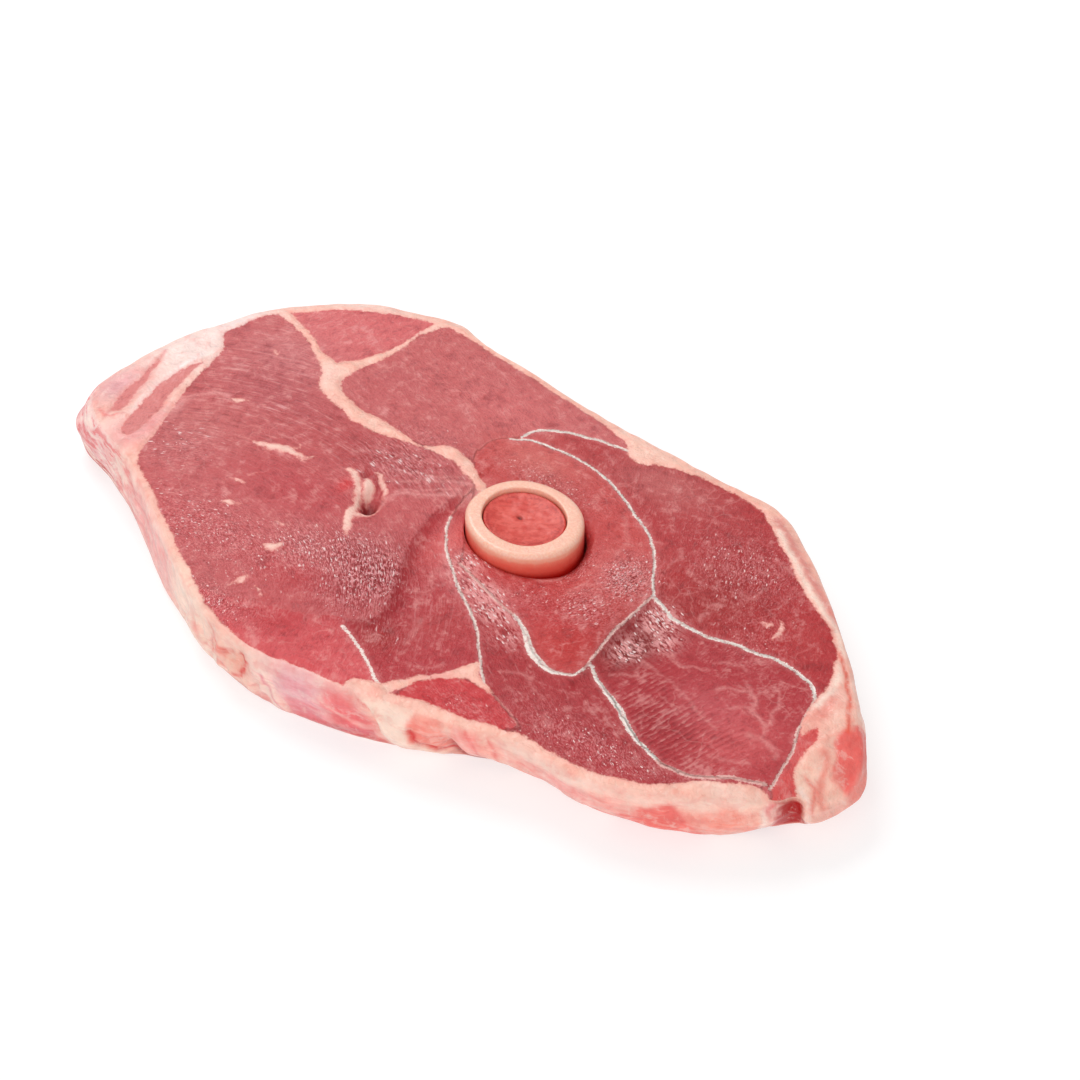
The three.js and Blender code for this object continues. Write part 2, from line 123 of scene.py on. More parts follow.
# Thin seams between muscles.
TAIL = [(4.4, 36.8), (0.9, 36.7), (-1.8, 36.4), (-5, 35.6), (-8.2, 34.7), (-11.4, 33.3), (-13.6, 31.3), (-15, 28.5)]
RING_LEFT = [(-15.6, 27.6), (-18.2, 25.8), (-19.5, 23.1), (-19.5, 20.4), (-18.6, 18)]
RING_BACK = [(-16.4, 26.7), (-12.3, 28.5), (-5, 29.5), (0, 29.2), (4.1, 28.3), (10, 25.6), (14.9, 22.7),
             (19.9, 19.8), (24, 15.5), (28.1, 9.5), (29.9, 6.8)]
RING_RIGHT = [(29.9, 6.8), (29.6, 0), (29.3, -5), (29.8, -10), (30.6, -15.8)]
RING_TIP = [(30.6, -15.8), (30.2, -17.5), (28.8, -18.5, 0.1), (26.7, -19.2, 0.25), (24.2, -19, 0.45), (21.7, -17.9, 0.5),
            (19.6, -16.3, 0.4), (17.5, -14.6, 0.25), (15.4, -13.1, 0.1), (12.5, -11.9)]
RING_FRONT = [(12.5, -11.9), (10, -11), (5, -9.4), (0, -7.5), (-3.3, -6.3)]
SECOND_START = [(-13.6, 11.7), (-13.6, 8.5), (-12.3, 2.6)]
SECOND = [(-12.3, 2.6), (-9.8, -2.1), (-5.8, -6.3), (0.8, -12.1), (5.8, -15.4), (10, -19), (13.3, -22.9), (16.3, -26),
          (19.2, -29.2)]
SECOND_END = [(19.2, -29.2), (21.7, -30), (25, -31.3), (30, -33.3)]
CREASE = [(-15, 11.3), (-15.2, 5), (-15, -2.1), (-13.1, -9.2), (-10.2, -15.8), (-7.5, -21.7), (-6.5, -26), (-7.9, -28.8),
          (-10, -30)]
CREASE_FRONT = [(-10, -30), (-12.5, -30.6), (-15, -32.1), (-20, -34), (-25, -35.5), (-33, -38.4)]
FRONT_SEAM = [(-10, -31.9), (-6.3, -33.1), (-3.8, -34.4), (-1.7, -35.8), (0.8, -37.5), (2.9, -38.8), (4.6, -39.4)]
RIGHT_SEAM = [(29.9, 6.8), (32.3, 6.1), (35.5, 4.5), (38.6, 3.9), (42.3, 3.6), (48.6, 4.8), (52.3, 5.2), (55.9, 5.9),
              (58.6, 5.6), (64.1, 4.6), (66.8, 2.2)]
END_SEAM = [(66.8, 2.2), (68.2, -4.8), (69.8, -9.5), (70.7, -14), (71.8, -20)]
LOWER_SEAM = [(30.9, -13.9), (34, -16), (40, -19.4, 0.15), (45.5, -23, 0.15), (48.2, -24.4), (53, -26)]
LOWER_END = [(53, -26), (54.5, -26.3), (57.7, -26.3), (61, -25.3), (66, -21.9), (70.5, -19.7)]

# Each muscle: outline from the seams, colour as seen, and how its fibres run: an angle, or round a middle point.
LEFT_CENTRE = (-47.6, -50.2)
MUSCLES = {
    "back": dict(edge=[(-80, 34), (-70, 29.8), (-62.5, 25.6), (-55.5, 23.5), (-51.8, 31), (-50, 38), (-47, 52),
                       (-60, 52), (-88, 42)], colour=(226, 126, 127), fibre=72),
    "behind": dict(edge=[(-47, 52), (-50, 38), (-52, 30), (-55, 24), (-51.2, 17.2), (-42.5, 14.9), (-34, 14.8),
                         (-28, 15.3), (-22.4, 16.6)] + RING_LEFT[::-1] + TAIL[::-1] + [(6, 46), (-20, 54)],
                   colour=(209, 118, 118), fibre=-22),
    "round_bone": dict(edge=RING_LEFT[::-1] + RING_BACK + RING_RIGHT + RING_TIP + RING_FRONT + [(-9, 0), (-14, 12)],
                       colour=(208, 100, 99), around=BONE_AT),
    "right": dict(edge=TAIL + RING_BACK + RIGHT_SEAM + [(82, 2), (60, 32), (36, 50), (4, 48)],
                  colour=(190, 86, 88), fibre=112),
    "tip": dict(edge=RING_RIGHT[::-1] + RIGHT_SEAM + END_SEAM + LOWER_END[::-1] + LOWER_SEAM[::-1], colour=(187, 86, 90), fibre=67),
    "front": dict(edge=RING_FRONT[::-1] + RING_TIP[::-1] + LOWER_SEAM + LOWER_END + [(72, -34), (40, -48), (27, -44), (30, -33.3)]
                  + SECOND_END[::-1] + SECOND[::-1] + SECOND_START[::-1], colour=(184, 86, 89), fibre=-32),
    "fold": dict(edge=CREASE + FRONT_SEAM + [(6, -39.5), (8.8, -34.3), (12.8, -29.8), (16, -26)] + SECOND[::-1]
                 + SECOND_START[::-1],
                 colour=(192, 88, 92), around=LEFT_CENTRE, joined=True),
    "front_left": dict(edge=CREASE_FRONT[::-1] + FRONT_SEAM + [(4, -48), (-30, -54), (-52, -40)],
                       colour=(222, 108, 111), around=LEFT_CENTRE, joined=True),
    "small_front": dict(edge=[(11, -31.7), (12.9, -30.6), (15.4, -29.8), (18.8, -29.6)] + SECOND_END
                        + [(27.5, -37), (20, -40), (8, -40), (8, -36)], colour=(212, 89, 92), fibre=-12),
    "end": dict(edge=END_SEAM + [(78, -26), (86, -12), (78, 6)], colour=(226, 108, 106), fibre=-60),
    "left_end": dict(edge=[(-95, 14), (-79, 14), (-74.5, -6), (-75, -20), (-95, -20)], colour=(230, 146, 143), fibre=-80),
}
LEFT_MUSCLE = dict(colour=(207, 114, 115), around=LEFT_CENTRE)

# Broad changes of colour over the cut face, among them a painted shade and a painted highlight: place, reach, colour,
# strength.
TINTS = [
    ((-66, 21), (12, 9), (213, 133, 134), 0.9), ((-60, 11), (13, 6), (198, 112, 115), 0.8),
    ((-66, -5), (9, 8), (212, 126, 125), 0.8), ((-34, 7), (14, 7), (192, 94, 96), 0.8),
    ((-38, -9), (14, 7), (198, 94, 98), 0.8), ((-50, -27), (18, 6), (214, 106, 108), 0.7),
    ((-14, -20), (9, 10), (172, 76, 82), 0.85), ((-26, -27), (10, 5), (198, 86, 90), 0.6),
    ((-44, 27), (8, 6), (200, 108, 110), 0.5),
    ((-9, 25), (10, 5), (214, 119, 115), 0.9), ((-8, -2), (4, 9), (228, 122, 120), 0.9),
    ((16, -8), (12, 5), (196, 82, 84), 0.9), ((25, -13), (6, 5), (198, 84, 83), 0.8), ((22, 8), (8, 8), (210, 104, 102), 0.7),
    ((14, 33), (12, 6), (196, 112, 112), 0.9), ((40, 12), (9, 8), (172, 62, 68), 0.95), ((57, 14), (8, 7), (194, 85, 86), 0.7),
    ((34, -4), (5, 9), (150, 58, 64), 0.8), ((62, -14), (8, 8), (218, 113, 115), 0.9), ((54, -11), (7, 5), (208, 110, 114), 0.8),
    ((3, -12), (7, 5), (200, 104, 106), 0.8), ((42, -31), (12, 4), (196, 88, 92), 0.7), ((3, -21), (6, 6), (192, 96, 97), 0.7),
    ((-22, -38), (8, 4), (200, 86, 90), 0.7), ((-3, -30), (4, 4), (176, 68, 73), 0.8), ((-4, -14), (4, 6), (190, 84, 88), 0.7),
    # The first spot here, very dark in the deepest hole of the pit, is painted shade.
    ((-26.3, -3.9), (1.4, 1.8), (120, 36, 42), 0.9), ((-32.9, -2.3), (1.3, 2), (228, 88, 90), 0.7),
    # The second spot here, pale just right of the bone at (23, 8), is a painted highlight.
    ((-20, 34), (10, 6), (222, 128, 128), 0.7), ((23, 8), (5, 6), (230, 132, 130), 0.6), ((15, 33), (8, 5), (206, 120, 118), 0.5),
    ((-8, 24), (5, 3), (222, 128, 122), 0.5), ((34, -5), (3, 6), (140, 44, 52), 0.8), ((-12.5, 10.5), (3, 3.4), (240, 168, 164), 0.85),
    ((4, -10.2), (7, 2.6), (226, 136, 138), 0.8), ((-3, -5.5), (3, 3), (222, 128, 130), 0.6),
]

# Thin white seams: path, half width, whiteness, depth of the crease beside them.
MEMBRANES = [
    (TAIL, 0.2, 0.95, 0.05), (RING_LEFT, 0.12, 0.15, 0.25), (RING_BACK, 0.13, 1.0, 0.03), (RING_RIGHT, 0.12, 0.6, 0.0),
    (RING_TIP, 0.16, 0.95, 0.0), (RING_FRONT, 0.18, 0.5, 0.0), (SECOND_START, 0.12, 0.25, 0.1),
    (SECOND, 0.14, 0.85, 0.0), (SECOND_END, 0.1, 0.3, 0.1), (FRONT_SEAM, 0.16, 0.95, 0.05), (RIGHT_SEAM, 0.22, 1.0, 0.05),
    (END_SEAM, 0.12, 0.6, 0.0), (LOWER_SEAM, 0.24, 1.0, 0.03), (LOWER_END, 0.3, 0.5, 0.0), (CREASE_FRONT, 0.1, 0.1, 0.1),
]

# Soft pale veins: path, half width, strength.
VEINS = [
    ([(52.5, -6.5), (54, -5.1), (56, -4.3), (57.2, -3.7), (59.1, -4.7), (59.6, -6.7), (61.1, -8), (62.5, -8.7),
      (63.9, -9.2), (64.7, -11.5)], 0.36, 0.6),
    ([(60, 0.2), (61.1, -0.2), (62.3, -2.4), (63.1, -3.6), (63.4, -5.7), (63.8, -7.5), (63.9, -9.2)], 0.32, 0.55),
    ([(56.7, -9.1), (58.2, -7.7), (59.7, -6.9)], 0.32, 0.4), ([(55, -1.6), (56.3, -2.5), (57.5, -3.5)], 0.3, 0.4),
    ([(62.3, -12.7), (63.6, -12.3), (64.7, -11.5), (66, -12), (67.6, -12.6), (68.8, -13.5)], 0.6, 0.5),
    ([(39.4, -3.2), (40.8, -3.4), (42.1, -4.9), (43.9, -4.8), (46.7, -4), (47.8, -3.8)], 0.34, 0.5),
    ([(48.1, -1.2), (50.5, 0.3), (52.5, 1.1), (53.7, 0.5)], 0.3, 0.4),
    ([(35.3, -13.8), (36.7, -12.8), (38.8, -11.6), (38.4, -10), (38, -7.9)], 0.32, 0.4),
    ([(60.6, -20.9), (63.4, -19.4), (66.3, -17.6)], 0.35, 0.35),
    ([(38, -8.2), (40.2, -8.7), (44.6, -9.5), (47.2, -10.3), (50.3, -11.9), (53.7, -13.3), (57, -14.5)], 0.24, 0.4),
    ([(40.1, 6.1), (39.5, 7.6), (40, 8.6)], 0.35, 0.5), ([(42.9, 15.8), (44.6, 15.7), (45, 17.7), (45, 19.3)], 0.35, 0.4),
    ([(-27, 4), (-24, 6), (-20, 9), (-16, 11.5)], 0.3, 0.7), ([(-27.5, 6.5), (-23, 9), (-18, 10.5), (-14, 12)], 0.3, 0.65),
    ([(-24.5, 2), (-19, 6.5), (-15, 9.5)], 0.3, 0.6), ([(-23, 8), (-18, 12), (-14, 13)], 0.26, 0.5),
    ([(-20, 3), (-16, 7.5), (-12, 11)], 0.4, 0.4),
    ([(-24, -3.4), (-24.1, 0.7), (-22.2, 2.8), (-18.8, 4.9), (-15, 7.5)], 0.5, 0.7),
    ([(27.5, 19), (28.5, 17), (28.2, 14)], 0.35, 0.4), ([(14, 21), (17.5, 16), (19, 11)], 0.4, 0.3),
    ([(20, -24), (22.5, -23.2), (24.5, -23.6), (27, -25)], 0.4, 0.35),
    ([(-75.1, -0.5), (-73, 1.7), (-70.7, 3.8), (-67.4, 5.1)], 0.5, 0.7), ([(-74.5, -2.4), (-73, -0.1), (-70.4, 1.4)], 0.4, 0.5),
    ([(-73.1, -5.7), (-73.6, -3.5), (-73.9, -1.1)], 1.3, 0.7), ([(-74.9, 11), (-72.6, 11.9), (-69.8, 12.8)], 0.4, 0.5),
    ([(8.6, -1.9), (11.3, -1.3), (12.9, 0.5), (13.3, 2.1)], 0.34, 0.75), ([(0.9, -3.6), (3, -4), (5.3, -4.4)], 0.3, 0.45),
    ([(1, -28), (0.4, -25.3), (-0.6, -22.2)], 0.8, 0.3), ([(-4, -4), (-6, -9), (-5, -14), (-3, -20)], 0.7, 0.25),
]

# Flecks of fat set in the lean, and a few painted highlights drawn the same way: path with half widths.
FLECKS = [
    [(-54.6, -2.9, 0.3), (-52.6, -2.9, 0.7), (-51.2, -2.6, 1.1), (-49.5, -2, 1.15), (-47.8, -1.2, 1.15),
     (-46, -0.9, 0.9), (-43.5, -1.6, 0.3)],
    [(-47.5, -0.3, 0.3), (-46.6, 0.7, 0.35), (-46.8, 2.1, 0.15)],
    [(-44, -1.3, 0.2), (-43.3, -0.4, 0.3), (-42.7, 0.7, 0.1)],
    [(-66.6, 4.5, 0.2), (-65, 5.3, 0.7), (-63.4, 6.1, 0.2)],
    [(-69.5, 21.1, 0.3), (-68.2, 20.5, 0.4), (-68.3, 21.6, 0.2)],
    [(-48.6, -19, 0.2), (-47, -18.5, 0.8), (-45.6, -18.2, 0.2)],
    [(-51.1, -13.5, 0.2), (-49.3, -13.3, 0.45), (-47.7, -13.1, 0.2)],
    [(-48.8, -11.5, 0.1), (-48.6, -10.6, 0.3), (-48.2, -10, 0.1)],
    [(-37.6, -17.5, 0.1), (-36, -17.7, 0.35), (-34.4, -17.9, 0.1)],
    [(-34.5, -24, 0.3), (-33, -23.6, 0.9), (-32.1, -22.3, 0.8), (-32.1, -21, 0.2)],
    [(-32.9, -36, 0.15), (-32.8, -34.4, 0.3), (-32.3, -33, 0.8), (-32, -31.8, 0.3)],
    [(-29.3, -33.1, 0.2), (-28, -33.8, 0.45), (-26.5, -34.6, 0.2)],
    # round the pit
    [(-35.7, 0.9, 0.3), (-34.2, 1.2, 0.9), (-32.2, -0.1, 0.9), (-30.3, -2.1, 0.85), (-28.5, -5, 0.9), (-27.2, -8, 1.2),
     (-25.9, -10.2, 1.0), (-24.6, -12, 0.7), (-23.7, -13.2, 0.3)],
    [(-31, 4.1, 0.3), (-29.3, 3.4, 0.6), (-27.3, 2.1, 0.7), (-25.8, 1.1, 0.65), (-25.1, -0.8, 0.4)],
    [(-26.3, -8, 0.9), (-25.6, -6.5, 0.75), (-24.3, -5.3, 0.5), (-23.9, -3.4, 0.3)],
    [(-30.6, 1, 0.7), (-29.6, 0, 1.3), (-28.6, -1.4, 1.0), (-28.1, -2.4, 0.4)],
    # painted highlights on the right: glints of the wet surface drawn as pale flecks
    [(53.4, 9.9, 0.4), (53.6, 11.7, 0.7), (52.9, 13.3, 0.6), (51.6, 14.2, 0.3)], [(49.5, 12.5, 0.3), (50.8, 12.2, 0.5)],
]

# Places that glisten, where glints are painted into the colour as well as made by gloss and relief, and places where
# the surface is finely wrinkled: place, reach, strength.
GLISTEN = [
    ((-14, -19), (8, 9), 1.0), ((-20, -17.5), (8, 7), 0.85), ((-28, -20), (9, 6), 0.65), ((-45, -26), (18, 8), 0.5),
    ((-66, -12), (8, 7), 0.35), ((-34, -40), (10, 4), 0.6), ((24, 7), (5, 6), 1.0), ((15, 6), (3, 6), 0.5),
    ((22, -3), (6, 5), 0.6), ((13, -6), (7, 4), 0.3), ((-3, -29), (5, 4), 0.8), ((-8, -12), (4, 9), 0.35),
    ((20, -35), (8, 3), 0.25), ((40, -30), (14, 5), 0.42), ((50, 9), (9, 8), 0.22), ((40, 22), (12, 9), 0.4),
    ((-28, 9), (9, 6), 0.65), ((-27, 15), (10, 6), 0.35), ((-3, 21), (12, 3), 0.4), ((48, -29), (12, 3), 0.4),
]
WRINKLED = [
    ((-2, -6), (3.2, 4), 0.7), ((4, -10), (4.5, 2.6), 1.0), ((9, -13.2), (4, 2.6), 1.0), ((15, -17), (3, 3), 0.5),
    ((34.3, 2.6), (3.6, 3.2), 1.0), ((33.6, -6), (2.8, 3.6), 1.0), ((38, -1.5), (3, 3), 0.7),
]
# Places with close parallel ripples, and places with clear streaks along the fibres.
RIPPLED = [((49.5, -19), (10, 7), 1.0), ((43, -12), (6, 5), 0.5), ((58, -16), (6, 5), 0.4)]
STREAKY = [
    ((-60, 12), (18, 14), 1.0), ((-42, 6), (16, 7), 0.9), ((-64, -4), (12, 7), 0.7), ((-18, 8), (8, 5), 0.8),
    ((-62, 36), (12, 6), 0.4), ((-34, 30), (16, 8), 0.35), ((0, -20), (6, 12), 0.5), ((8, 28), (16, 5), 0.4),
    ((24, -26), (14, 5), 0.35), ((28, -34), (10, 3), 0.4), ((36, 20), (20, 12), 0.2),
]
# Soft rises and dips of the cut face: place, reach, turn in degrees, rise.
SWELLS = [
    ((-45, -8), (34, 22), -12, 1.1), ((-14, -21), (7, 12), 20, 0.9), ((-4, -17), (5, 15), 25, -0.9),
    ((-30, 31), (22, 12), -8, 0.7), ((-62, 37), (11, 7), 35, 0.6), ((36, 22), (22, 12), -30, 0.9),
    ((21, 1), (8, 15), 8, 1.3), ((14.5, 3), (3.5, 7), 20, -1.2), ((33.5, -4), (4, 8), 0, -1.4),
    ((54, -11), (14, 10), -10, 0.7), ((26, -26), (16, 6), -12, 0.4), ((-27, -2.5), (2.6, 4.6), 28, -1.8),
    ((-92, -6), (14, 20), 0, -1.2), ((86, -14), (11, 13), 0, -5.5),
]
# Steps beside seams: path, the low side (1 is left of the way along), drop, how far it fades, softness of the step.
LIPS = [
    (CREASE, 1, 0.8, 6.0, 2.4), (RING_RIGHT, 1, 0.8, 5.0, 1.3), (RING_TIP, -1, 0.6, 4.0, 1.0),
    (CREASE_FRONT, 1, 0.35, 5.0, 1.4),
]
LIP_REACH = 12.0
LIP_START = 0.15  # the step begins this far beyond its seam
# Painted shade: how much of each colour the lean loses at the foot of a step.
PAINTED_STEP_SHADE = (0.28, 0.5, 0.46)  # share of red, green and blue lost at the foot of a step
# Holes and bumps of the pit in the cut face: place, reach, turn in degrees, depth.
HOLLOWS = [
    ((-26.7, -3.4), (1.2, 2.0), 35, 3.0), ((-31.9, 2.4), (0.7, 0.8), 0, 1.3), ((-28.0, 1.3), (0.45, 1.4), 35, 0.9),
    ((-29.4, -0.2), (1.2, 1.5), 30, -0.9), ((-30.7, -0.6), (0.4, 1.2), 30, 0.6),
]

# ---------------------------------------------------------------- curves and fields, on arrays of plan points


def spline(points, step, closed=False):
    """A centripetal Catmull-Rom curve through the points, resampled at even steps."""
    knots = np.array([tuple(p) + (0.0,) * (3 - len(p)) for p in points], float)
    if closed:
        knots = np.vstack([knots[-1], knots, knots[:2]])
    else:
        knots = np.vstack([2 * knots[0] - knots[1], knots, 2 * knots[-1] - knots[-2]])
    t = np.linspace(0, 1, 13)[:-1, None]
    found = []
    for a, b, c, d in zip(knots, knots[1:], knots[2:], knots[3:]):
        ab, bc, cd = (max(1e-4, np.linalg.norm(q - p) ** 0.5) for p, q in ((a, b), (b, c), (c, d)))
        out = ((b - a) / ab - (c - a) / (ab + bc) + (c - b) / bc) * bc
        into = ((c - b) / bc - (d - b) / (bc + cd) + (d - c) / cd) * bc
        found.append(b + out * t + (3 * (c - b) - 2 * out - into) * t**2 + (2 * (b - c) + out + into) * t**3)
    curve = np.vstack(found + [knots[-2:-1] if not closed else knots[1:2]])
    run = np.concatenate([[0], np.cumsum(np.linalg.norm(np.diff(curve[:, :2], axis=0), axis=1))])
    count = max(2, int(round(run[-1] / step)))
    at = np.linspace(0, run[-1], count + 1)
    if closed:
        at = at[:-1]
    return np.stack([np.interp(at, run, curve[:, k]) for k in range(3)], 1)


def nearest(points, path, reach=4.0):
    """Distance to a path, the third number there, and the side: positive to the left of the way along."""
    far = np.full(len(points), float(reach))
    third = np.zeros(len(points))
    side = np.ones(len(points))
    piece = 16
    for first in range(0, len(path) - 1, piece):
        part = path[first:first + piece + 1]
        low, high = part[:, :2].min(0) - reach, part[:, :2].max(0) + reach
        near = np.flatnonzero(((points > low) & (points < high)).all(1))
        start, way = part[:-1, :2], np.diff(part[:, :2], axis=0)
        gap = points[near, None, :] - start[None]
        t = np.clip((gap * way).sum(2) / ((way**2).sum(1) + 1e-12), 0, 1)
        squared = ((gap - t[..., None] * way) ** 2).sum(2)
        best = squared.argmin(1)
        rows = np.arange(len(near))
        distance, share = np.sqrt(squared[rows, best]), t[rows, best]
        better = distance < far[near]
        rows, best, share, near = rows[better], best[better], share[better], near[better]
        far[near] = distance[better]
        third[near] = part[best, 2] * (1 - share) + part[best + 1, 2] * share
        cross = way[best, 0] * gap[rows, best, 1] - way[best, 1] * gap[rows, best, 0]
        side[near] = np.where(cross < 0, -1.0, 1.0)
    return far, third, side


def inside(points, outline):
    """True for the points inside a closed outline."""
    found = np.zeros(len(points), bool)
    x, y = points[:, 0], points[:, 1]
    for (ax, ay), (bx, by) in zip(outline[:, :2], np.roll(outline[:, :2], -1, axis=0)):
        if ay == by:
            continue
        crosses = ((ay > y) != (by > y)) & (x < (bx - ax) * (y - ay) / (by - ay) + ax)
        found ^= crosses
    return found


def depth_inside(points, outline, reach=4.0):
    """Distance to a closed outline, positive inside it."""
    distance = nearest(points, np.vstack([outline, outline[:1]]), reach)[0]
    return np.where(inside(points, outline), distance, -distance)


def dab(points, at, reach, turn=0.0):
    """A soft round or oval spot, 1 in the middle."""
    dx, dy = points[:, 0] - at[0], points[:, 1] - at[1]
    c, s = math.cos(math.radians(turn)), math.sin(math.radians(turn))
    return np.exp(-(((dx * c + dy * s) / reach[0]) ** 2 + ((dy * c - dx * s) / reach[1]) ** 2))


def noise(points, size, seed):
    """Smooth noise from -1 to 1 with features of about that size."""
    table = np.random.default_rng(SEED + seed).uniform(-1, 1, (256, 256))
    cell = points / size
    low = np.floor(cell).astype(int)
    t = cell - low
    t = t * t * (3 - 2 * t)
    x0, y0 = low[:, 0] % 256, low[:, 1] % 256
    x1, y1 = (x0 + 1) % 256, (y0 + 1) % 256
    lower = table[x0, y0] * (1 - t[:, 0]) + table[x1, y0] * t[:, 0]
    upper = table[x0, y1] * (1 - t[:, 0]) + table[x1, y1] * t[:, 0]
    return lower * (1 - t[:, 1]) + upper * t[:, 1]


def ramp(x, low, high):
    """0 below low, 1 above high, smooth between."""
    t = np.clip((x - low) / (high - low), 0, 1)
    return t * t * (3 - 2 * t)


def linear(colour):
    """Linear light from an 8-bit colour."""
    c = np.asarray(colour, float) / 255
    return np.where(c <= 0.04045, c / 12.92, ((c + 0.055) / 1.055) ** 2.4)


def base(colour, level=LIGHT_LEVEL):
    """The base colour of a wet surface that looks like the 8-bit colour: its gloss adds a pale haze."""
    return np.clip((linear(colour) - GLOSS_HAZE) / level, 0.002, 0.97)


def waxy(colour):
    """The base colour of fat that looks like the 8-bit colour."""
    return base(colour, FAT_LEVEL)


def round_bone(points, shift=(0, 0)):
    """Angle round the bone's middle, and distance from it as a share of its oval."""
    c, s = math.cos(BONE_TURN), math.sin(BONE_TURN)
    dx, dy = points[:, 0] - BONE_AT[0] - shift[0], points[:, 1] - BONE_AT[1] - shift[1]
    u, v = dx * c + dy * s, dy * c - dx * s
    return np.arctan2(dy, dx), np.hypot(u / BONE_REACH[0], v / BONE_REACH[1])


def oval(reach, angles, grow=0.0, shift=(0, 0)):
    """Plan points of an oval round the bone's middle."""
    c, s = math.cos(BONE_TURN), math.sin(BONE_TURN)
    u, v = (reach[0] + grow) * np.cos(angles), (reach[1] + grow) * np.sin(angles)
    return np.stack([BONE_AT[0] + shift[0] + u * c - v * s, BONE_AT[1] + shift[1] + u * s + v * c], 1)


# ---------------------------------------------------------------- the meat's fields


def shaken(points, amount):
    """Points pushed about a little, so that edges measured from them come out uneven."""
    push = [amount * noise(points, 2.6, k) + 0.45 * amount * noise(points, 1.1, k + 1) for k in (31, 41)]
    return points + np.stack(push, 1)


def fat_depth(points):
    """Distance into fat: positive in fat, negative in lean."""
    points = shaken(points, 0.28)
    fat = -depth_inside(points, spline(LEAN_EDGE, 0.8, closed=True))
    for seam in FAT_SEAMS:
        distance, half, _ = nearest(points, spline(seam, 0.8))
        fat = np.maximum(fat, half - distance)
    for island in LEAN_ISLANDS:
        fat = np.minimum(fat, -0.8 * depth_inside(points, spline(island, 0.8, closed=True)))
    return fat


def fleck_depth(points):
    """Distance into the flecks of fat in the lean and into the painted highlights drawn as flecks."""
    points = shaken(points, 0.45)
    found = np.full(len(points), -3.0)
    for fleck in FLECKS:
        distance, half, _ = nearest(points, spline(fleck, 0.4))
        found = np.maximum(found, half - distance)
    return found


def seam_line(path, step=0.5):
    """A thin seam, a little wavy."""
    line = spline(path, step)
    line[:, :2] = shaken(line[:, :2], 0.22)
    return line


def seam_rows(step, offsets):
    """Vertices on the thin seams and close beside them, where their relief and colour need them."""
    kept = np.empty((0, 2))
    for offset in offsets:
        for path, *_ in MEMBRANES:
            line = seam_line(path, step)[:, :2]
            way = np.gradient(line, axis=0)
            normal = np.stack([-way[:, 1], way[:, 0]], 1) / np.linalg.norm(way, axis=1)[:, None]
            row = line + offset * normal
            if len(kept):
                row = row[np.linalg.norm(row[:, None] - kept[None], axis=2).min(1) > 0.3]
            kept = np.vstack([kept, row])
    return kept


def membrane(points):
    """Distance into the nearest thin seam, how white it is, and how deep the creases are. A third number in a seam's
    path widens it there."""
    depth = np.full(len(points), -3.0)
    white = np.zeros(len(points))
    crease = np.zeros(len(points))
    for path, half, whiteness, groove in MEMBRANES:
        distance, wider, _ = nearest(points, seam_line(path), 3.0)
        closer = half + wider - distance > depth
        depth = np.where(closer, half + wider - distance, depth)
        white = np.where(closer, whiteness, white)
        crease = np.maximum(crease, groove * np.exp(-((distance / 0.9) ** 2)))
    return depth, white, crease


def vein_strength(points):
    """How pale the soft veins are."""
    points = shaken(points, 0.5)
    found = np.zeros(len(points))
    for path, half, strength in VEINS:
        distance = nearest(points, spline(path, 0.7), 3.0)[0]
        found = np.maximum(found, strength * np.exp(-((distance / half) ** 2)))
    return found


def cut_height(points):
    """Height of the cut face with its broad rises and dips."""
    height = np.full(len(points), THICKNESS)
    for at, reach, turn, rise in SWELLS:
        height += rise * dab(points, at, reach, turn)
    return height


def lips(points):
    """Steps where one muscle's cut edge stands over its neighbour."""
    step = np.zeros(len(points))
    for path, low_side, drop, fade, soft in LIPS:
        curve = spline(path, 0.8)
        distance, _, side = nearest(points, curve, LIP_REACH)
        ends = np.minimum(*(np.linalg.norm(points - curve[k, :2], axis=1) for k in (0, -1)))
        on_low_side = ramp(side * low_side * distance, LIP_START, LIP_START + soft) * np.exp(-distance / fade)
        step -= drop * on_low_side * ramp(ends, 0, 4) * (distance < LIP_REACH)
    return step


def painted_shade_at_steps(points):
    """Painted shade: how much darker the lean is painted at the foot of the steps, where their shade falls."""
    shade = np.zeros(len(points))
    for path, low_side, drop, fade, _ in LIPS:
        distance, _, side = nearest(points, spline(path, 0.8), LIP_REACH)
        at_foot = ramp(side * low_side * distance, -0.5, 0.3) * np.exp(-distance / (0.3 * fade))
        shade = np.maximum(shade, drop * at_foot)
    return shade


def top_height(points, fat, fleck, crease):
    """Height of the upper cut face in full detail."""
    height = cut_height(points) + lips(points) - crease
    height += 0.28 * ramp(fat, -0.2, 0.9) + 0.22 * ramp(fleck, -0.3, 0.7)
    height += 0.2 * noise(points, 9, 1) + 0.1 * noise(points, 4, 2)
    lumpy = ramp(fat, 0, 1)
    height += lumpy * (0.18 * noise(points, 2.6, 3)) + (1 - lumpy) * 0.05 * noise(points, 1.3, 4)
    angle, share = round_bone(points)
    open_side = np.clip(np.cos(angle - math.radians(-2)), 0, 1) ** 2
    beside = np.exp(-(((share - 1) * BONE_REACH[0]) / 1.4) ** 2)
    height -= (0.2 + 1.7 * open_side) * beside
    for at, reach, turn, depth in HOLLOWS:
        height -= depth * dab(points, at, reach, turn)
    return height


def under_height(points):
    """Height of the underside: on the table, and lifting at the right-hand end."""
    rise = np.maximum(0, points[:, 0] - TIP_FROM)
    return rise**2 / (rise + 3) * math.tan(TIP_LIFT)


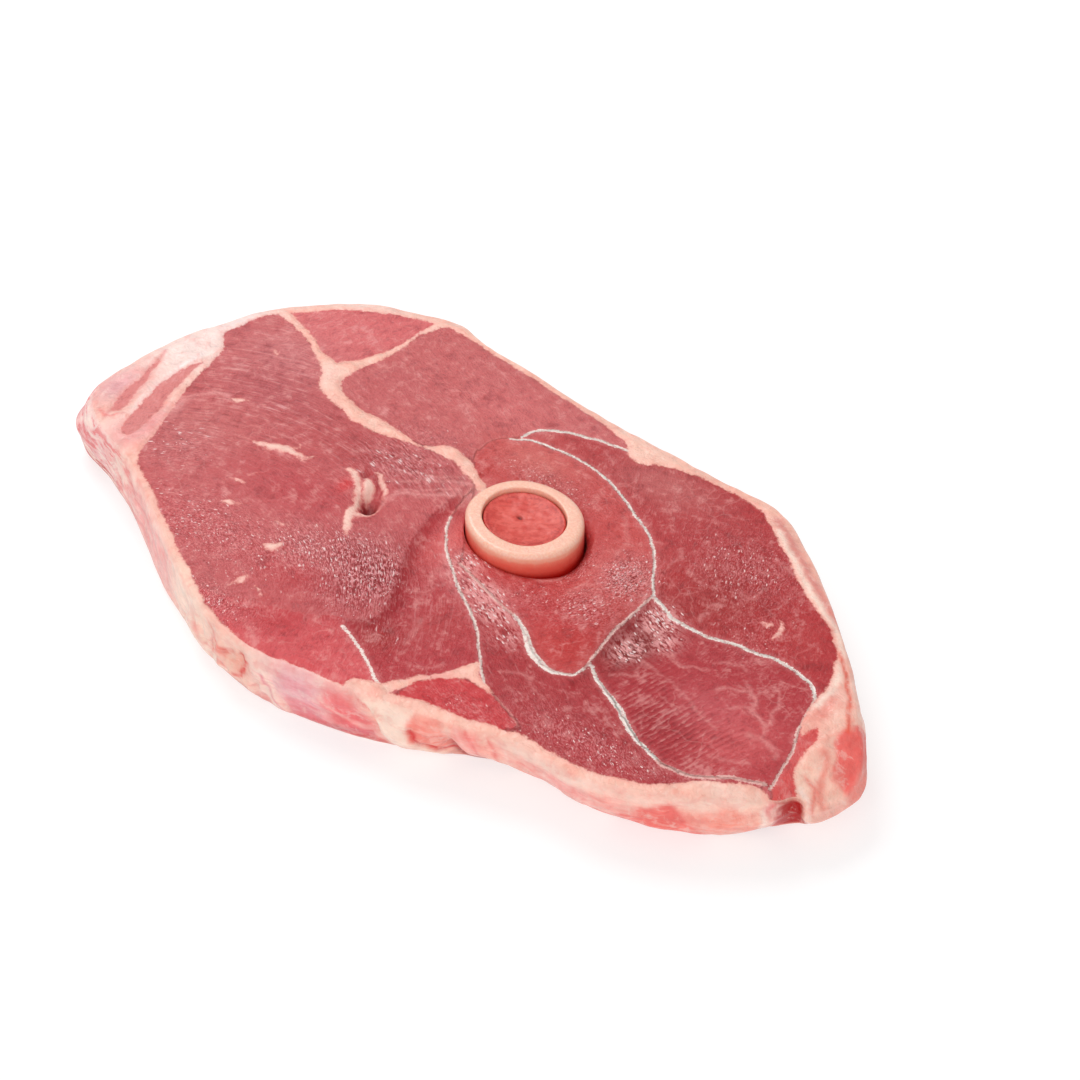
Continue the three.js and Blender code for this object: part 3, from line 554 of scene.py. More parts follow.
def muscle_fields(points):
    """Colour as linear light, with painted shade at the foot of the steps and the painted light among the tints, and
    the fibres' coordinates: along, across, and a number for each muscle.
    """
    colour = np.tile(base(LEFT_MUSCLE["colour"]), (len(points), 1))
    grain = np.zeros((len(points), 3))
    grain[:, :2] = fibre_coordinates(points, LEFT_MUSCLE)
    for number, muscle in enumerate(MUSCLES.values(), 1):
        here = inside(points, np.array([point[:2] for point in muscle["edge"]], float))
        colour[here] = base(muscle["colour"])
        grain[here, :2] = fibre_coordinates(points[here], muscle)
        grain[here, 2] = 0 if muscle.get("joined") else number * 13.7
    for at, reach, shade, strength in TINTS:
        amount = (strength * dab(points, at, reach))[:, None]
        colour = colour * (1 - amount) + base(shade) * amount
    # painted shade: the colour is darkened at the foot of the steps
    return colour * (1 - painted_shade_at_steps(points)[:, None] * PAINTED_STEP_SHADE), grain


def fibre_coordinates(points, muscle):
    """Coordinates along and across a muscle's fibres."""
    if "around" in muscle:
        gap = points - muscle["around"]
        radius = np.hypot(gap[:, 0], gap[:, 1])
        return np.stack([np.arctan2(gap[:, 1], gap[:, 0]) * 30, radius], 1)
    angle = math.radians(muscle["fibre"])
    c, s = math.cos(angle), math.sin(angle)
    bend = 1.2 * np.sin(points[:, 0] / 11 + points[:, 1] / 17)
    return np.stack([points[:, 0] * c + points[:, 1] * s, points[:, 1] * c - points[:, 0] * s + bend], 1)


def spots(points, table):
    """The strongest of a table of soft spots."""
    return np.max([strength * dab(points, at, reach) for at, reach, strength in table], axis=0)


# ---------------------------------------------------------------- meshes


def fill(loops, step, keep_off, fixed):
    """Triangles between closed plan loops, with the fixed points and evenly spread ones inside. The first loop is
    the outer one."""
    low, high = loops[0].min(0), loops[0].max(0)
    rows = np.arange(low[1], high[1], step * math.sqrt(3) / 2)
    columns = np.arange(low[0], high[0], step)
    grid = np.vstack([np.stack([columns + (k % 2) * step / 2, np.full(len(columns), y)], 1)
                      for k, y in enumerate(rows)])
    grid = grid + np.random.default_rng(SEED).uniform(-0.12, 0.12, grid.shape) * step
    tree = KDTree(len(fixed))
    for k, (x, y) in enumerate(fixed.tolist()):
        tree.insert((x, y, 0), k)
    tree.balance()
    grid = grid[[tree.find((x, y, 0))[2] > step * 0.55 for x, y in grid.tolist()]]
    grid = np.vstack([fixed, grid])
    room = depth_inside(grid, with_third(loops[0]), 3.0)
    for loop in loops[1:]:
        room = np.minimum(room, -depth_inside(grid, with_third(loop), 3.0))
    points = np.vstack(loops + [grid[room > keep_off]])
    edges, first = [], 0
    for loop in loops:
        edges += [(first + k, first + (k + 1) % len(loop)) for k in range(len(loop))]
        first += len(loop)
    found = delaunay_2d_cdt([Vector(p) for p in points.tolist()], edges, [], 0, 1e-7, False)
    triangles = np.array(found[2])
    middle = points[triangles].mean(1)
    keep = inside(middle, loops[0])
    for loop in loops[1:]:
        keep &= ~inside(middle, loop)
    return points, triangles[keep]


def with_third(loop):
    """A plan loop with a zero third number, as the curve functions expect."""
    return np.hstack([loop, np.zeros((len(loop), 1))])


def outline_normals(loop):
    """Outward normals of a clockwise loop, smoothed over its tight corners."""
    way = np.roll(loop, -1, axis=0) - np.roll(loop, 1, axis=0)
    normal = np.stack([-way[:, 1], way[:, 0]], 1)
    normal /= np.linalg.norm(normal, axis=1)[:, None]
    smooth = sum(np.roll(normal, k, axis=0) for k in range(-3, 4))
    return smooth / np.linalg.norm(smooth, axis=1)[:, None]


def mesh_object(name, points, faces, smooth=True):
    """A mesh from plan points in millimetres."""
    mesh = bpy.data.meshes.new(name)
    placed = points.copy()
    placed[:, :2] += PLAN_SHIFT
    mesh.from_pydata((placed * MM).tolist(), [], [tuple(f) for f in faces])
    mesh.polygons.foreach_set("use_smooth", [smooth] * len(mesh.polygons))
    mesh.update()
    obj = bpy.data.objects.new(name, mesh)
    bpy.context.scene.collection.objects.link(obj)
    return obj


def store(obj, name, values):
    """Keeps values for each vertex under a name that the material reads."""
    kind = "FLOAT" if values.ndim == 1 else "FLOAT_VECTOR"
    attribute = obj.data.attributes.new(name, kind, "POINT")
    attribute.data.foreach_set("value" if values.ndim == 1 else "vector", values.astype(np.float32).ravel())


def quads(rings, size, first=0):
    """Faces between rings of equal length, bottom to top, each running clockwise seen from above."""
    k = np.arange(size)
    after = (k + 1) % size
    found = []
    for level in range(rings - 1):
        low = first + level * size
        found.append(np.stack([low + k, low + size + k, low + size + after, low + after], 1))
    return np.vstack(found)


# Folds of the front wall: place along X, height, reach along and up, slant (mm along per mm up), how far it stands out.
WALL_FOLDS = [
    (11.5, 4.0, 3.6, 5.0, 0.2, 1.3), (8.0, 9.5, 3.5, 3.0, -0.4, 0.5), (14.5, 8.2, 2.6, 0.9, -0.3, -0.7),
    (19.3, 6.5, 1.7, 5.5, -0.1, -2.3), (24.0, 2.6, 5.0, 2.6, 0.0, -1.0), (4.4, 4.0, 1.0, 6.0, 0.5, -0.6),
    (-20.5, 3.6, 2.6, 3.2, 0.0, 1.3), (-16.4, 4.0, 1.3, 5.0, 0.2, -1.0), (-24.5, 8.5, 2.0, 2.2, 0.3, -0.8),
    (-21.0, 8.5, 1.0, 1.2, 0.3, -0.7), (-28.0, 5.5, 2.4, 3.5, 0.3, 0.9), (-31.0, 5.0, 0.9, 5.0, 0.2, -0.8),
    (-35.0, 7.0, 3.0, 4.0, 0.0, 0.7), (-40.5, 6.0, 1.2, 5.0, 0.4, -0.6), (-10.0, 8.0, 5.0, 5.0, 0.0, 0.5),
    (-3.0, 3.0, 5.0, 2.0, -1.2, 0.4), (30.0, 9.0, 6.0, 3.5, 0.0, 0.5), (47.0, 7.5, 9.0, 4.0, 0.0, 0.5),
    (63.0, 6.5, 7.0, 5.0, 0.0, 0.6), (75.8, 5.0, 1.8, 9.0, -0.05, -2.0), (80.5, 6.0, 1.5, 5.0, 0.0, 0.5),
    (61.0, 3.0, 12.0, 4.5, 0.0, 1.6),
    (-27.0, 9.0, 1.6, 2.0, 0.3, 1.0), (-24.0, 5.0, 1.4, 1.6, 0.0, 1.0), (-22.2, 9.5, 0.7, 1.6, 0.2, -1.2),
    (-28.6, 7.0, 0.6, 3.0, 0.2, -1.0), (-18.8, 4.0, 0.8, 4.0, 0.2, -1.0), (-33.5, 8.0, 0.7, 3.0, -0.3, -0.8),
    (-13.0, 3.0, 0.8, 3.0, -0.6, -0.6), (6.3, 7.0, 0.7, 5.0, -0.4, -0.7),
]

# Folds and patches of the front wall with a clear edge: outline as place along X and height, how far it stands out,
# colour, strength.
WALL_PATCHES = [
    ([(49.5, 1), (50, 4.9), (53, 7.6), (56.6, 10), (59.4, 11), (62.7, 7.3), (64.9, 3.3), (65.4, -0.5), (52, -0.5)],
     0.1, (243, 124, 118), 0.85),
    ([(2.2, 13.4), (5.9, 10), (7.2, 5.8), (9.3, 3.0), (12.6, 0.8), (17.2, 0.6), (17.4, 3.4), (14.2, 5.6), (12.4, 9), (12.8, 13.4)],
     1.1, (255, 222, 206), 1.0),
    ([(12.8, 13), (12.6, 9.4), (14.4, 6.4), (17.6, 4.4), (19.0, 7), (18.4, 12.6)], 0.2, (250, 160, 148), 0.85),
    ([(-19.6, 11.6), (-15.8, 10.5), (-14.6, 5.8), (-12.8, 3), (-12.2, -0.5), (-14.8, -0.5), (-17, 2.8), (-18.8, 6.8)],
     0.5, (252, 216, 204), 0.9),
    ([(-22.6, 10.6), (-20.9, 8.8), (-22.2, 5.6), (-25.4, 3.6), (-26.8, 5), (-25.4, 8.6)], 0.5, (250, 196, 178), 0.8),
    ([(-37.4, 9), (-33.3, 5.2), (-29, 6.4), (-28, 2.4), (-33, 1), (-39, 3)], 0.5, (254, 224, 210), 0.7),
]
# Coloured lines on the front wall: path as place along X and height, half width, colour, strength.
WALL_LINES = [
    ([(-5, 9), (-2, 7), (2, 4.8), (6.5, 3.2), (9.2, 2.4)], 0.4, (252, 190, 182), 0.85),
    ([(-3, 1), (0, 3), (4, 3.2)], 0.9, (206, 112, 124), 0.6),
    ([(2.0, 12.6), (5.4, 9.6), (6.9, 5.6), (9.0, 2.6)], 0.35, (224, 96, 98), 0.7),
    ([(12.8, 9.4), (14.4, 6.2), (17.6, 4.0), (20, 3.6)], 0.5, (214, 76, 80), 0.85),
    ([(-16.8, 9.4), (-15.8, 5.6), (-13.8, 1.6)], 0.3, (234, 146, 156), 0.8),
    ([(-22.6, 10.4), (-21.2, 8.8), (-22.2, 6), (-23.4, 5.4)], 0.4, (220, 84, 84), 0.9),
    ([(-26.8, 5.2), (-26, 4), (-25.2, 3.2)], 0.45, (232, 104, 96), 0.9),
    ([(-33.4, 5), (-29, 6.2), (-28.2, 3)], 0.3, (240, 148, 140), 0.7),
    ([(-30.8, 12), (-27.6, 9), (-25.6, 8.4)], 0.35, (238, 140, 132), 0.6),
    ([(20.7, 12.8), (22.8, 9), (24.5, 5.2), (26, 0.8)], 0.4, (255, 196, 186), 0.8),
    ([(22.6, 12.6), (25, 8), (27.4, 4)], 0.35, (232, 112, 112), 0.6),
    ([(26.4, 12.4), (29.5, 5.4), (33, 0.8)], 0.4, (234, 118, 116), 0.6),
    ([(28.4, 12), (32, 6), (36, 2.4)], 0.4, (255, 204, 194), 0.6),
    ([(33, 9.6), (38, 7.6), (44, 6), (50, 5)], 0.4, (240, 146, 140), 0.5),
    ([(74.4, 12), (73.5, 7), (72.2, 1)], 0.35, (255, 214, 202), 0.7),
    ([(77.3, 12.4), (78.2, 7), (78.8, 1)], 0.35, (255, 214, 204), 0.5),
]
LEFT_SWELL = 1.6  # the left-hand end's wall swells out by this much
JOIN_FADE = 12.0  # over this length the wall's lumps run into those where the way round it ends


def wall_patch(along_x, height, patch):
    """1 inside a patch of the wall, 0 outside, with a narrow edge."""
    return ramp(depth_inside(np.stack([along_x, height], 1), spline(patch, 0.6, closed=True)), -0.5, 0.7)


def wall_shift(outline, along, share, tuck, height):
    """How far the wall stands out at a share of its height."""
    tucked = np.interp(share, [0, 0.12, 0.3, 0.58, 0.9, 1], [1, 0.8, 0.5, 0.15, 0, 0])
    swelled = np.interp(share, [0, 0.12, 0.3, 0.58, 0.9, 1], [0, 0.15, 0.6, 1, 0.3, 0])
    over = np.clip((share - 0.88) / 0.12, 0, 1)
    under = np.clip(1 - share / 0.07, 0, 1)
    drawn = RIM_IN * (1 - np.sqrt(1 - over**2)) + 0.5 * (1 - np.sqrt(1 - under**2))
    joined = ramp(along, 0, JOIN_FADE)
    lumps = 0.0
    for once_round, part in ((len(along) * EDGE_STEP, 1 - joined), (0.0, joined)):
        here = np.stack([along + once_round, np.full(len(along), share * height)], 1)
        lumps = lumps + part * (0.45 * noise(here, 6.5, 11) + 0.28 * noise(here * (0.5, 1), 2.4, 12)
                                + 0.1 * noise(here, 1.2, 13) + 0.55 * noise(here * (0.35, 1) + (0, 40), 3.4, 14))
    middle = np.sin(math.pi * min(1, share / 0.95)) ** 0.6
    front = ramp(-outline[:, 1], 2, 12)
    z = share * height
    lumps = lumps + LEFT_SWELL * ramp(-outline[:, 0], 80, 89) * ramp(-outline[:, 1], -4, 4)
    for x, up, reach, reach_up, slant, out in WALL_FOLDS:
        sideways = (outline[:, 0] - x - slant * (z - up)) / reach
        lumps = lumps + front * out * np.exp(-sideways**2 - ((z - up) / reach_up) ** 2)
    for patch, out, _, _ in WALL_PATCHES:
        lumps = lumps + front * out * wall_patch(outline[:, 0], np.full(len(outline), z), patch)
    return swelled * BULGE - tucked * tuck - drawn + middle * lumps


def make_meat():
    """The lean and the fat in one skin: cut face, wall, underside, and the socket round the bone."""
    edge = spline(RIM_EDGE, EDGE_STEP, closed=True)
    outline, tuck = edge[:, :2], edge[:, 2]
    normal = outline_normals(outline)
    size = len(outline)
    along = np.arange(size) * EDGE_STEP
    top_loop = outline - normal * RIM_IN
    under_loop = outline + normal * wall_shift(outline, along, 0.0, tuck, THICKNESS)[:, None]
    angles = np.linspace(0, -2 * math.pi, SOCKET_TURNS, endpoint=False)
    open_side = np.clip(np.cos(angles - math.radians(-2)), 0, 1) ** 2
    socket = oval(BONE_REACH, angles, SOCKET_GAP)
    socket_top = socket + (socket - BONE_AT) * (0.035 * open_side)[:, None]

    top_plan, top_faces = fill([top_loop, socket_top], TOP_STEP, TOP_STEP * 0.6, seam_rows(TOP_STEP, (0, 0.4, -0.4)))
    under_plan, under_faces = fill([under_loop, socket], UNDER_STEP, UNDER_STEP * 0.5, seam_rows(0.7, (0,)))
    fat, fleck = fat_depth(top_plan), fleck_depth(top_plan)
    depth, white, crease = membrane(top_plan)
    top_z = top_height(top_plan, fat, fleck, crease)
    from_rim = nearest(top_plan, with_third(np.vstack([outline, outline[:1]])), 4.0)[0]
    rounding = RIM_DOWN * 0.3 * (1 - ramp(from_rim, RIM_IN, 2.6))
    top_z = top_z - rounding
    under_z = under_height(under_plan)

    rim_z, low_z = top_z[:size], under_z[:size]
    wall, wall_share = [], []
    for level in range(1, WALL_LEVELS):
        share = level / WALL_LEVELS
        share = share if share < 0.8 else 0.8 + 0.2 * math.sin((share - 0.8) / 0.2 * math.pi / 2)
        shift = wall_shift(outline, along, share, tuck, THICKNESS)
        z = low_z + (rim_z - low_z) * share
        wall.append(np.hstack([outline + normal * shift[:, None], z[:, None]]))
        wall_share.append(np.full(size, share))
    top_first = len(under_plan) + size * (WALL_LEVELS - 1)
    hole = [
        np.hstack([socket + (socket_top - socket) * t, (top_z[size:size + len(socket)] * t)[:, None]])
        for t in (np.arange(1, SOCKET_LEVELS) / SOCKET_LEVELS)
    ]
    hole_first = top_first + len(top_plan)

    points = np.vstack([np.column_stack([under_plan, under_z])] + wall
                       + [np.column_stack([top_plan, top_z])] + hole)
    k = np.arange(size)
    after = (k + 1) % size
    ring_starts = [0] + [len(under_plan) + size * level for level in range(WALL_LEVELS - 1)] + [top_first]
    wall_faces = np.vstack([
        np.stack([low + k, high + k, high + after, low + after], 1)
        for low, high in zip(ring_starts, ring_starts[1:])
    ])
    m = len(socket)
    k = np.arange(m)
    after = (k + 1) % m
    hole_starts = [size] + [hole_first + m * level for level in range(SOCKET_LEVELS - 1)] + [top_first + size]
    hole_faces = np.vstack([
        np.stack([low + after, high + after, high + k, low + k], 1)
        for low, high in zip(hole_starts, hole_starts[1:])
    ])
    faces = under_faces[:, ::-1].tolist() + wall_faces.tolist() + (top_faces + top_first).tolist() + hole_faces.tolist()
    meat = mesh_object("meat", points, faces)

    plan = points[:, :2]
    everywhere = slice(top_first, hole_first)
    store(meat, "fat", spread_round_wall(fat, fat_depth(under_plan), size, np.maximum(fat[:size], 1.2)))
    store(meat, "fleck", spread_round_wall(fleck, fleck_depth(under_plan), size))
    low_depth, low_white, _ = membrane(under_plan)
    store(meat, "seam", spread_round_wall(depth, low_depth, size))
    store(meat, "seam_white", spread_round_wall(white, low_white, size))
    colour, grain = muscle_fields(plan)
    store(meat, "tint", colour)
    store(meat, "grain", grain)
    for name, table in (("glisten", GLISTEN), ("wrinkled", WRINKLED), ("rippled", RIPPLED), ("streaky", STREAKY)):
        values = np.zeros(len(points))
        values[everywhere] = spots(top_plan, table)
        if name == "glisten":
            on_fold = depth_inside(top_plan, with_third(np.array([point[:2] for point in MUSCLES["fold"]["edge"]], float)))
            values[everywhere] *= 1 - 0.65 * ramp(on_fold, -0.6, 0.8)
        store(meat, name, values)
    side = np.zeros(len(points))
    on_wall = slice(len(under_plan), top_first)
    side[on_wall] = np.concatenate([np.clip(ramp(s, 0, 0.1) * ramp(1.06 - s, 0, 0.16), 0, 1) for s in wall_share])
    rim_x = np.concatenate([under_plan[:, 0], np.tile(outline[:, 0], WALL_LEVELS - 1), plan[top_first:, 0]])
    rim_y = np.concatenate([under_plan[:, 1], np.tile(outline[:, 1], WALL_LEVELS - 1), plan[top_first:, 1]])
    stranded = side * ramp(-rim_x, -76, -68)
    store(meat, "side", stranded)
    store(meat, "layered", stranded * (0.25 + 0.75 * ramp(-rim_x, 58, 78) * (0.3 + 0.7 * ramp(-rim_y, -10, 2))))
    skin = np.zeros((len(points), 3))
    before_tip = np.arange(size) < outline[:, 0].argmax()
    unrolled = along + before_tip * size * EDGE_STEP  # cut open at the tip, where no strands show
    skin[:size, 0], skin[top_first:top_first + size, 0] = unrolled, unrolled
    skin[top_first:top_first + size, 1] = THICKNESS
    skin[on_wall, 0] = np.tile(unrolled, WALL_LEVELS - 1)
    skin[on_wall, 1] = np.concatenate(wall_share) * THICKNESS
    store(meat, "skin", skin)
    store(meat, "fat_tint", fat_tint(plan, rim_x, skin[:, 1], side))
    vein = np.zeros(len(points))
    vein[everywhere] = vein_strength(top_plan)
    store(meat, "vein", vein)
    bake_layout(meat, len(under_faces), len(wall_faces), len(top_faces), size, along)
    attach(meat, "root")
    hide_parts("lean_main", "lean_back", "lean_strip_inner", "lean_strip_outer", "lean_end", "fat")
    return meat


def spread_round_wall(top, under, size, rim=None):
    """Values for every vertex of the meat, from those of its top and underside, and of its rim for the wall."""
    wall = np.tile(top[:size] if rim is None else rim, WALL_LEVELS - 1)
    hole = np.tile(top[size:size + SOCKET_TURNS], SOCKET_LEVELS - 1)
    return np.concatenate([under, wall, top, hole])


# Colour of the fat on the cut face: place, reach, colour, strength.
FAT_TINTS = [
    ((-84, 12), (9, 14), (254, 226, 219), 1.0), ((-80, 24), (5, 8), (253, 230, 226), 0.9),
    ((-88, -4), (5, 7), (232, 172, 176), 0.9), ((-80, -14), (4, 5), (252, 214, 206), 0.8),
    ((-75.5, -14), (4, 5), (247, 184, 180), 0.8), ((-75, -10), (4, 8), (240, 170, 170), 0.9),
    ((-62, -24), (12, 5), (248, 190, 176), 0.7),
    ((-40, -38), (12, 5), (252, 212, 194), 0.9), ((-60, 42), (18, 6), (252, 214, 202), 0.8),
    ((6, 39), (8, 5), (253, 208, 192), 0.7), ((62, 16), (12, 8), (250, 178, 162), 0.7),
    ((71, 6), (4, 5), (253, 208, 194), 0.8), ((75, -14), (4, 4), (254, 214, 196), 0.8),
    ((-56, 21), (4, 4), (254, 212, 200), 0.7), ((69.5, 0.5), (1.6, 5), (240, 140, 132), 0.6),
    ((-9, -44.6), (13, 2.2), (248, 196, 194), 0.9), ((10.5, -31.5), (4, 2.6), (244, 172, 164), 0.8),
    ((66, -25.5), (7, 2), (254, 216, 202), 0.8),
]
# Coloured lines in the fat of the cut face, two of them painted highlights: path, half width, colour, strength.
FAT_CREASES = [
    ([(37, 37), (41, 34), (47.6, 29), (55.6, 23.2), (61.5, 19)], 1.1, (226, 146, 140), 0.85),
    ([(38.6, 34.5), (46.6, 27.9), (54.6, 22.3), (61, 18.7), (65.3, 13.1), (67.8, 6.3), (68.2, 0.6)], 0.7,
     (255, 228, 214), 0.85),
    ([(64.4, 13.4), (68.1, 10), (71.1, 6.1), (73.3, 2.6), (75.4, -1.4)], 0.45, (232, 112, 98), 0.85),
    ([(74.3, -7.1), (76.3, -9.7), (77.6, -13.4), (80, -15.6)], 0.8, (240, 152, 140), 0.8),
    # A painted highlight along a fold of the tip's flap.
    ([(75.3, -16.2), (77.6, -16.8), (78.5, -19.5)], 0.5, (255, 226, 214), 0.9),
    ([(75.1, -13.5), (77.2, -14.2), (78.5, -17.5)], 0.5, (236, 140, 130), 0.8),
    ([(-87.4, 9), (-86.6, 4.6), (-85.8, 0.2), (-84.9, -6.4), (-83.8, -12.2)], 0.4, (226, 142, 142), 0.7),
    ([(-86.3, -11.4), (-83.1, -12.4), (-81.2, -10.2)], 0.4, (240, 150, 146), 0.8),
    # A painted highlight along the ridge at the left lean island's edge.
    ([(-80.5, 12), (-81.5, 5), (-81.3, -3), (-80, -9)], 0.7, (255, 234, 230), 0.8),
]
# Colour of the front wall, with painted highlights along its upper edge and painted shade in a crease and an undercut:
# place along X, height, reach along and up, slant, colour, strength.
WALL_TINTS = [
    # Tints at heights 11.6 to 12.5 with a short reach up (X -88, -50, 40, 56, 69) are painted highlights along the
    # wall's upper edge.
    (-88, 8, 14, 9, 0, (246, 190, 188), 1.0), (-88, 12.5, 14, 1.6, 0, (252, 226, 220), 0.8),
    (-92, 7, 2.5, 5, 0, (234, 128, 132), 0.7), (-84, 1.5, 5, 2.5, 0, (206, 66, 74), 0.8),
    (-68, 1.5, 3, 2.2, 0, (220, 80, 84), 0.8), (-58, 7, 16, 9, 0, (247, 180, 176), 0.9),
    # The first here is a painted highlight along the wall's upper edge.
    (-50, 12.5, 20, 1.5, 0, (252, 214, 202), 0.7), (-38, 6, 8, 9, 0, (253, 222, 206), 0.9),
    (-24, 6, 8, 9, 0, (252, 206, 190), 0.9), (-25.5, 9.5, 2.6, 0.8, 0.3, (236, 132, 122), 0.9),
    (-22.6, 8, 0.8, 2.0, 0.3, (226, 104, 100), 0.9), (-26, 4.5, 2.2, 0.9, -0.6, (234, 132, 124), 0.8),
    (-30.5, 6, 0.9, 5, 0.3, (238, 146, 138), 0.8), (-34.5, 5, 0.8, 4, -0.3, (240, 150, 142), 0.7),
    (-16, 7, 4, 7, -0.4, (250, 210, 202), 0.9), (-9.5, 7.5, 5, 6.5, -0.2, (241, 178, 184), 0.95),
    (-9, 2, 6, 3, 0, (238, 146, 152), 0.85), (0.5, 6, 5, 7, -0.3, (241, 124, 128), 0.95),
    (-17, 1.5, 3, 2, 0, (240, 152, 150), 0.7), (1, 1.2, 9, 1.6, 0, (214, 84, 92), 0.8),
    (9.5, 6, 3.8, 9, -0.35, (253, 214, 196), 1.0), (14.8, 8, 3.2, 3.4, -0.4, (240, 118, 108), 1.0),
    # The second here, dark in the deep crease right of the cream fold, is painted shade.
    (14.2, 3, 3, 3, 0, (251, 196, 178), 0.8), (18.6, 5.5, 0.9, 5, -0.3, (176, 52, 58), 0.95),
    # The second here, dark red at the undercut foot of the wall, is painted shade, partly the dark red muscle showing
    # there.
    (22.8, 7, 3.4, 7, 0, (246, 160, 154), 0.9), (24, 1.2, 5, 1.6, 0, (150, 44, 50), 0.9),
    (30, 9.5, 5, 3.5, 0.8, (254, 192, 180), 0.8), (41, 6, 9, 9, 0, (248, 178, 172), 0.9),
    # The first here is a painted highlight along the wall's upper edge.
    (40, 12, 12, 1.6, 0, (253, 220, 206), 0.8), (51, 6, 6, 6, 0, (247, 174, 166), 0.8),
    # The second here is a painted highlight along the wall's upper edge.
    (61, 5, 10, 5.2, 0, (247, 158, 148), 0.8), (56, 11.6, 12, 1.8, 0, (253, 206, 192), 0.8),
    (67.5, 9, 3, 2.5, 0, (254, 160, 146), 0.9), (71, 5, 1.6, 4, 0, (247, 158, 144), 0.7),
    # The first here is a painted highlight along the wall's upper edge.
    (69, 11.8, 7, 1.8, 0, (253, 214, 198), 0.8), (72.6, 6.5, 0.5, 7, 0.1, (255, 224, 212), 0.9),
    (74.6, 6, 1.2, 15, -0.1, (222, 124, 126), 0.9), (76.1, 6, 1.7, 15, -0.05, (184, 38, 54), 1.0), (80.2, 6, 1.6, 7, 0.1, (250, 196, 184), 0.9),
    (83.5, 4, 3, 7, 0, (246, 152, 142), 0.8),
]
END_COLOUR = (240, 128, 122)  # of the lean under the fat's skin at the right-hand end


def fat_tint(points, along_x, height, on_wall):
    """Base colour of the fat, with the painted highlights and painted shade among its tints and lines."""
    colour = np.tile(waxy((250, 196, 180)), (len(points), 1))
    for at, reach, shade, strength in FAT_TINTS:
        amount = (strength * dab(points, at, reach))[:, None]
        colour = colour * (1 - amount) + waxy(shade) * amount
    patch = ramp(depth_inside(shaken(points, 1.2), spline(END_PATCH, 0.8, closed=True)), -0.6, 0.9)[:, None]
    colour = colour * (1 - patch) + waxy(END_COLOUR) * patch
    for path, half, shade, strength in FAT_CREASES:
        apart = nearest(shaken(points, 0.3), spline(path, 0.6), 4.0)[0]
        amount = (strength * np.exp(-((apart / half) ** 2)))[:, None]
        colour = colour * (1 - amount) + waxy(shade) * amount
    front = on_wall * ramp(-points[:, 1], 0, 10)
    along_x, height = shaken(np.stack([along_x, height], 1), 0.5).T
    low = on_wall * np.exp(-((height / 1.0) ** 2)) * ramp(noise(points, 9, 51), -0.6, 0.2)
    for x, up, reach, reach_up, slant, shade, strength in WALL_TINTS:
        apart = ((along_x - x - slant * (height - up)) / reach) ** 2 + ((height - up) / reach_up) ** 2
        amount = (front * strength * np.exp(-(apart**2.2)))[:, None]
        colour = colour * (1 - amount) + waxy(shade) * amount
    for patch, _, shade, strength in WALL_PATCHES:
        amount = (front * strength * wall_patch(along_x, height, patch))[:, None]
        colour = colour * (1 - amount) + waxy(shade) * amount
    for path, half, shade, strength in WALL_LINES:
        apart = nearest(np.stack([along_x, height], 1), spline(path, 0.5), 3.0)[0]
        amount = (front * strength * np.exp(-((apart / half) ** 2)))[:, None]
        colour = colour * (1 - amount) + waxy(shade) * amount
    return colour * (1 - 0.75 * low[:, None]) + waxy((206, 84, 82)) * 0.75 * low[:, None]


def bake_layout(obj, under, wall, top, size, along):
    """A flat layout of the skin: the cut face largest, then the underside, and the wall in strips."""
    mesh = obj.data
    layer = mesh.uv_layers.new(name="OFBake")
    corners = np.empty(len(mesh.loops), int)
    mesh.loops.foreach_get("vertex_index", corners)
    place = np.empty(len(mesh.vertices) * 3)
    mesh.vertices.foreach_get("co", place)
    place = place.reshape(-1, 3) / MM
    starts, totals = np.empty(len(mesh.polygons), int), np.empty(len(mesh.polygons), int)
    mesh.polygons.foreach_get("loop_start", starts)
    mesh.polygons.foreach_get("loop_total", totals)
    uv = np.zeros((len(corners), 2))
    low = place[:, :2].min(0)
    top_scale, under_scale = 0.0054, 0.0036
    face_of = np.repeat(np.arange(len(starts)), totals)
    at = place[corners]
    in_under = face_of < under
    in_wall = (face_of >= under) & (face_of < under + wall)
    in_top = (face_of >= under + wall) & (face_of < under + wall + top)
    in_hole = face_of >= under + wall + top
    uv[in_top] = (at[in_top, :2] - low) * top_scale + (0.015, 0.46)
    uv[in_under] = (at[in_under, :2] - low) * under_scale + (0.015, 0.085)
    number = face_of[in_wall] - under
    segment, level = number % size, number // size
    strips, strip_height = 5, 0.4
    per_strip = -(-size // strips)
    strip = segment // per_strip
    corner = (np.arange(len(corners)) - starts[face_of])[in_wall]
    step_along = np.isin(corner, (2, 3)).astype(int)
    step_up = np.isin(corner, (1, 2)).astype(int)
    uv[in_wall, 0] = 0.68 + strip * 0.062 + (level + step_up) / WALL_LEVELS * 0.054
    uv[in_wall, 1] = 0.03 + (segment % per_strip + step_along) / per_strip * strip_height
    number = face_of[in_hole] - under - wall - top
    corner = (np.arange(len(corners)) - starts[face_of])[in_hole]
    round_it, up = number % SOCKET_TURNS, number // SOCKET_TURNS
    uv[in_hole, 0] = 0.02 + (round_it + np.isin(corner, (0, 1))) / SOCKET_TURNS * 0.4
    uv[in_hole, 1] = 0.015 + (up + np.isin(corner, (1, 2))) / SOCKET_LEVELS * 0.05
    layer.data.foreach_set("uv", uv.ravel())


def ring_mesh(name, profile, turns=160):
    """A closed ring or plug round the bone's line. The profile gives functions of the angle: plan points and height."""
    angles = np.linspace(0, -2 * math.pi, turns, endpoint=False)
    rings = [np.column_stack([plan(angles), height(angles)]) for plan, height in profile]
    points = np.vstack(rings)
    faces = quads(len(rings), turns).tolist()
    return points, faces, angles


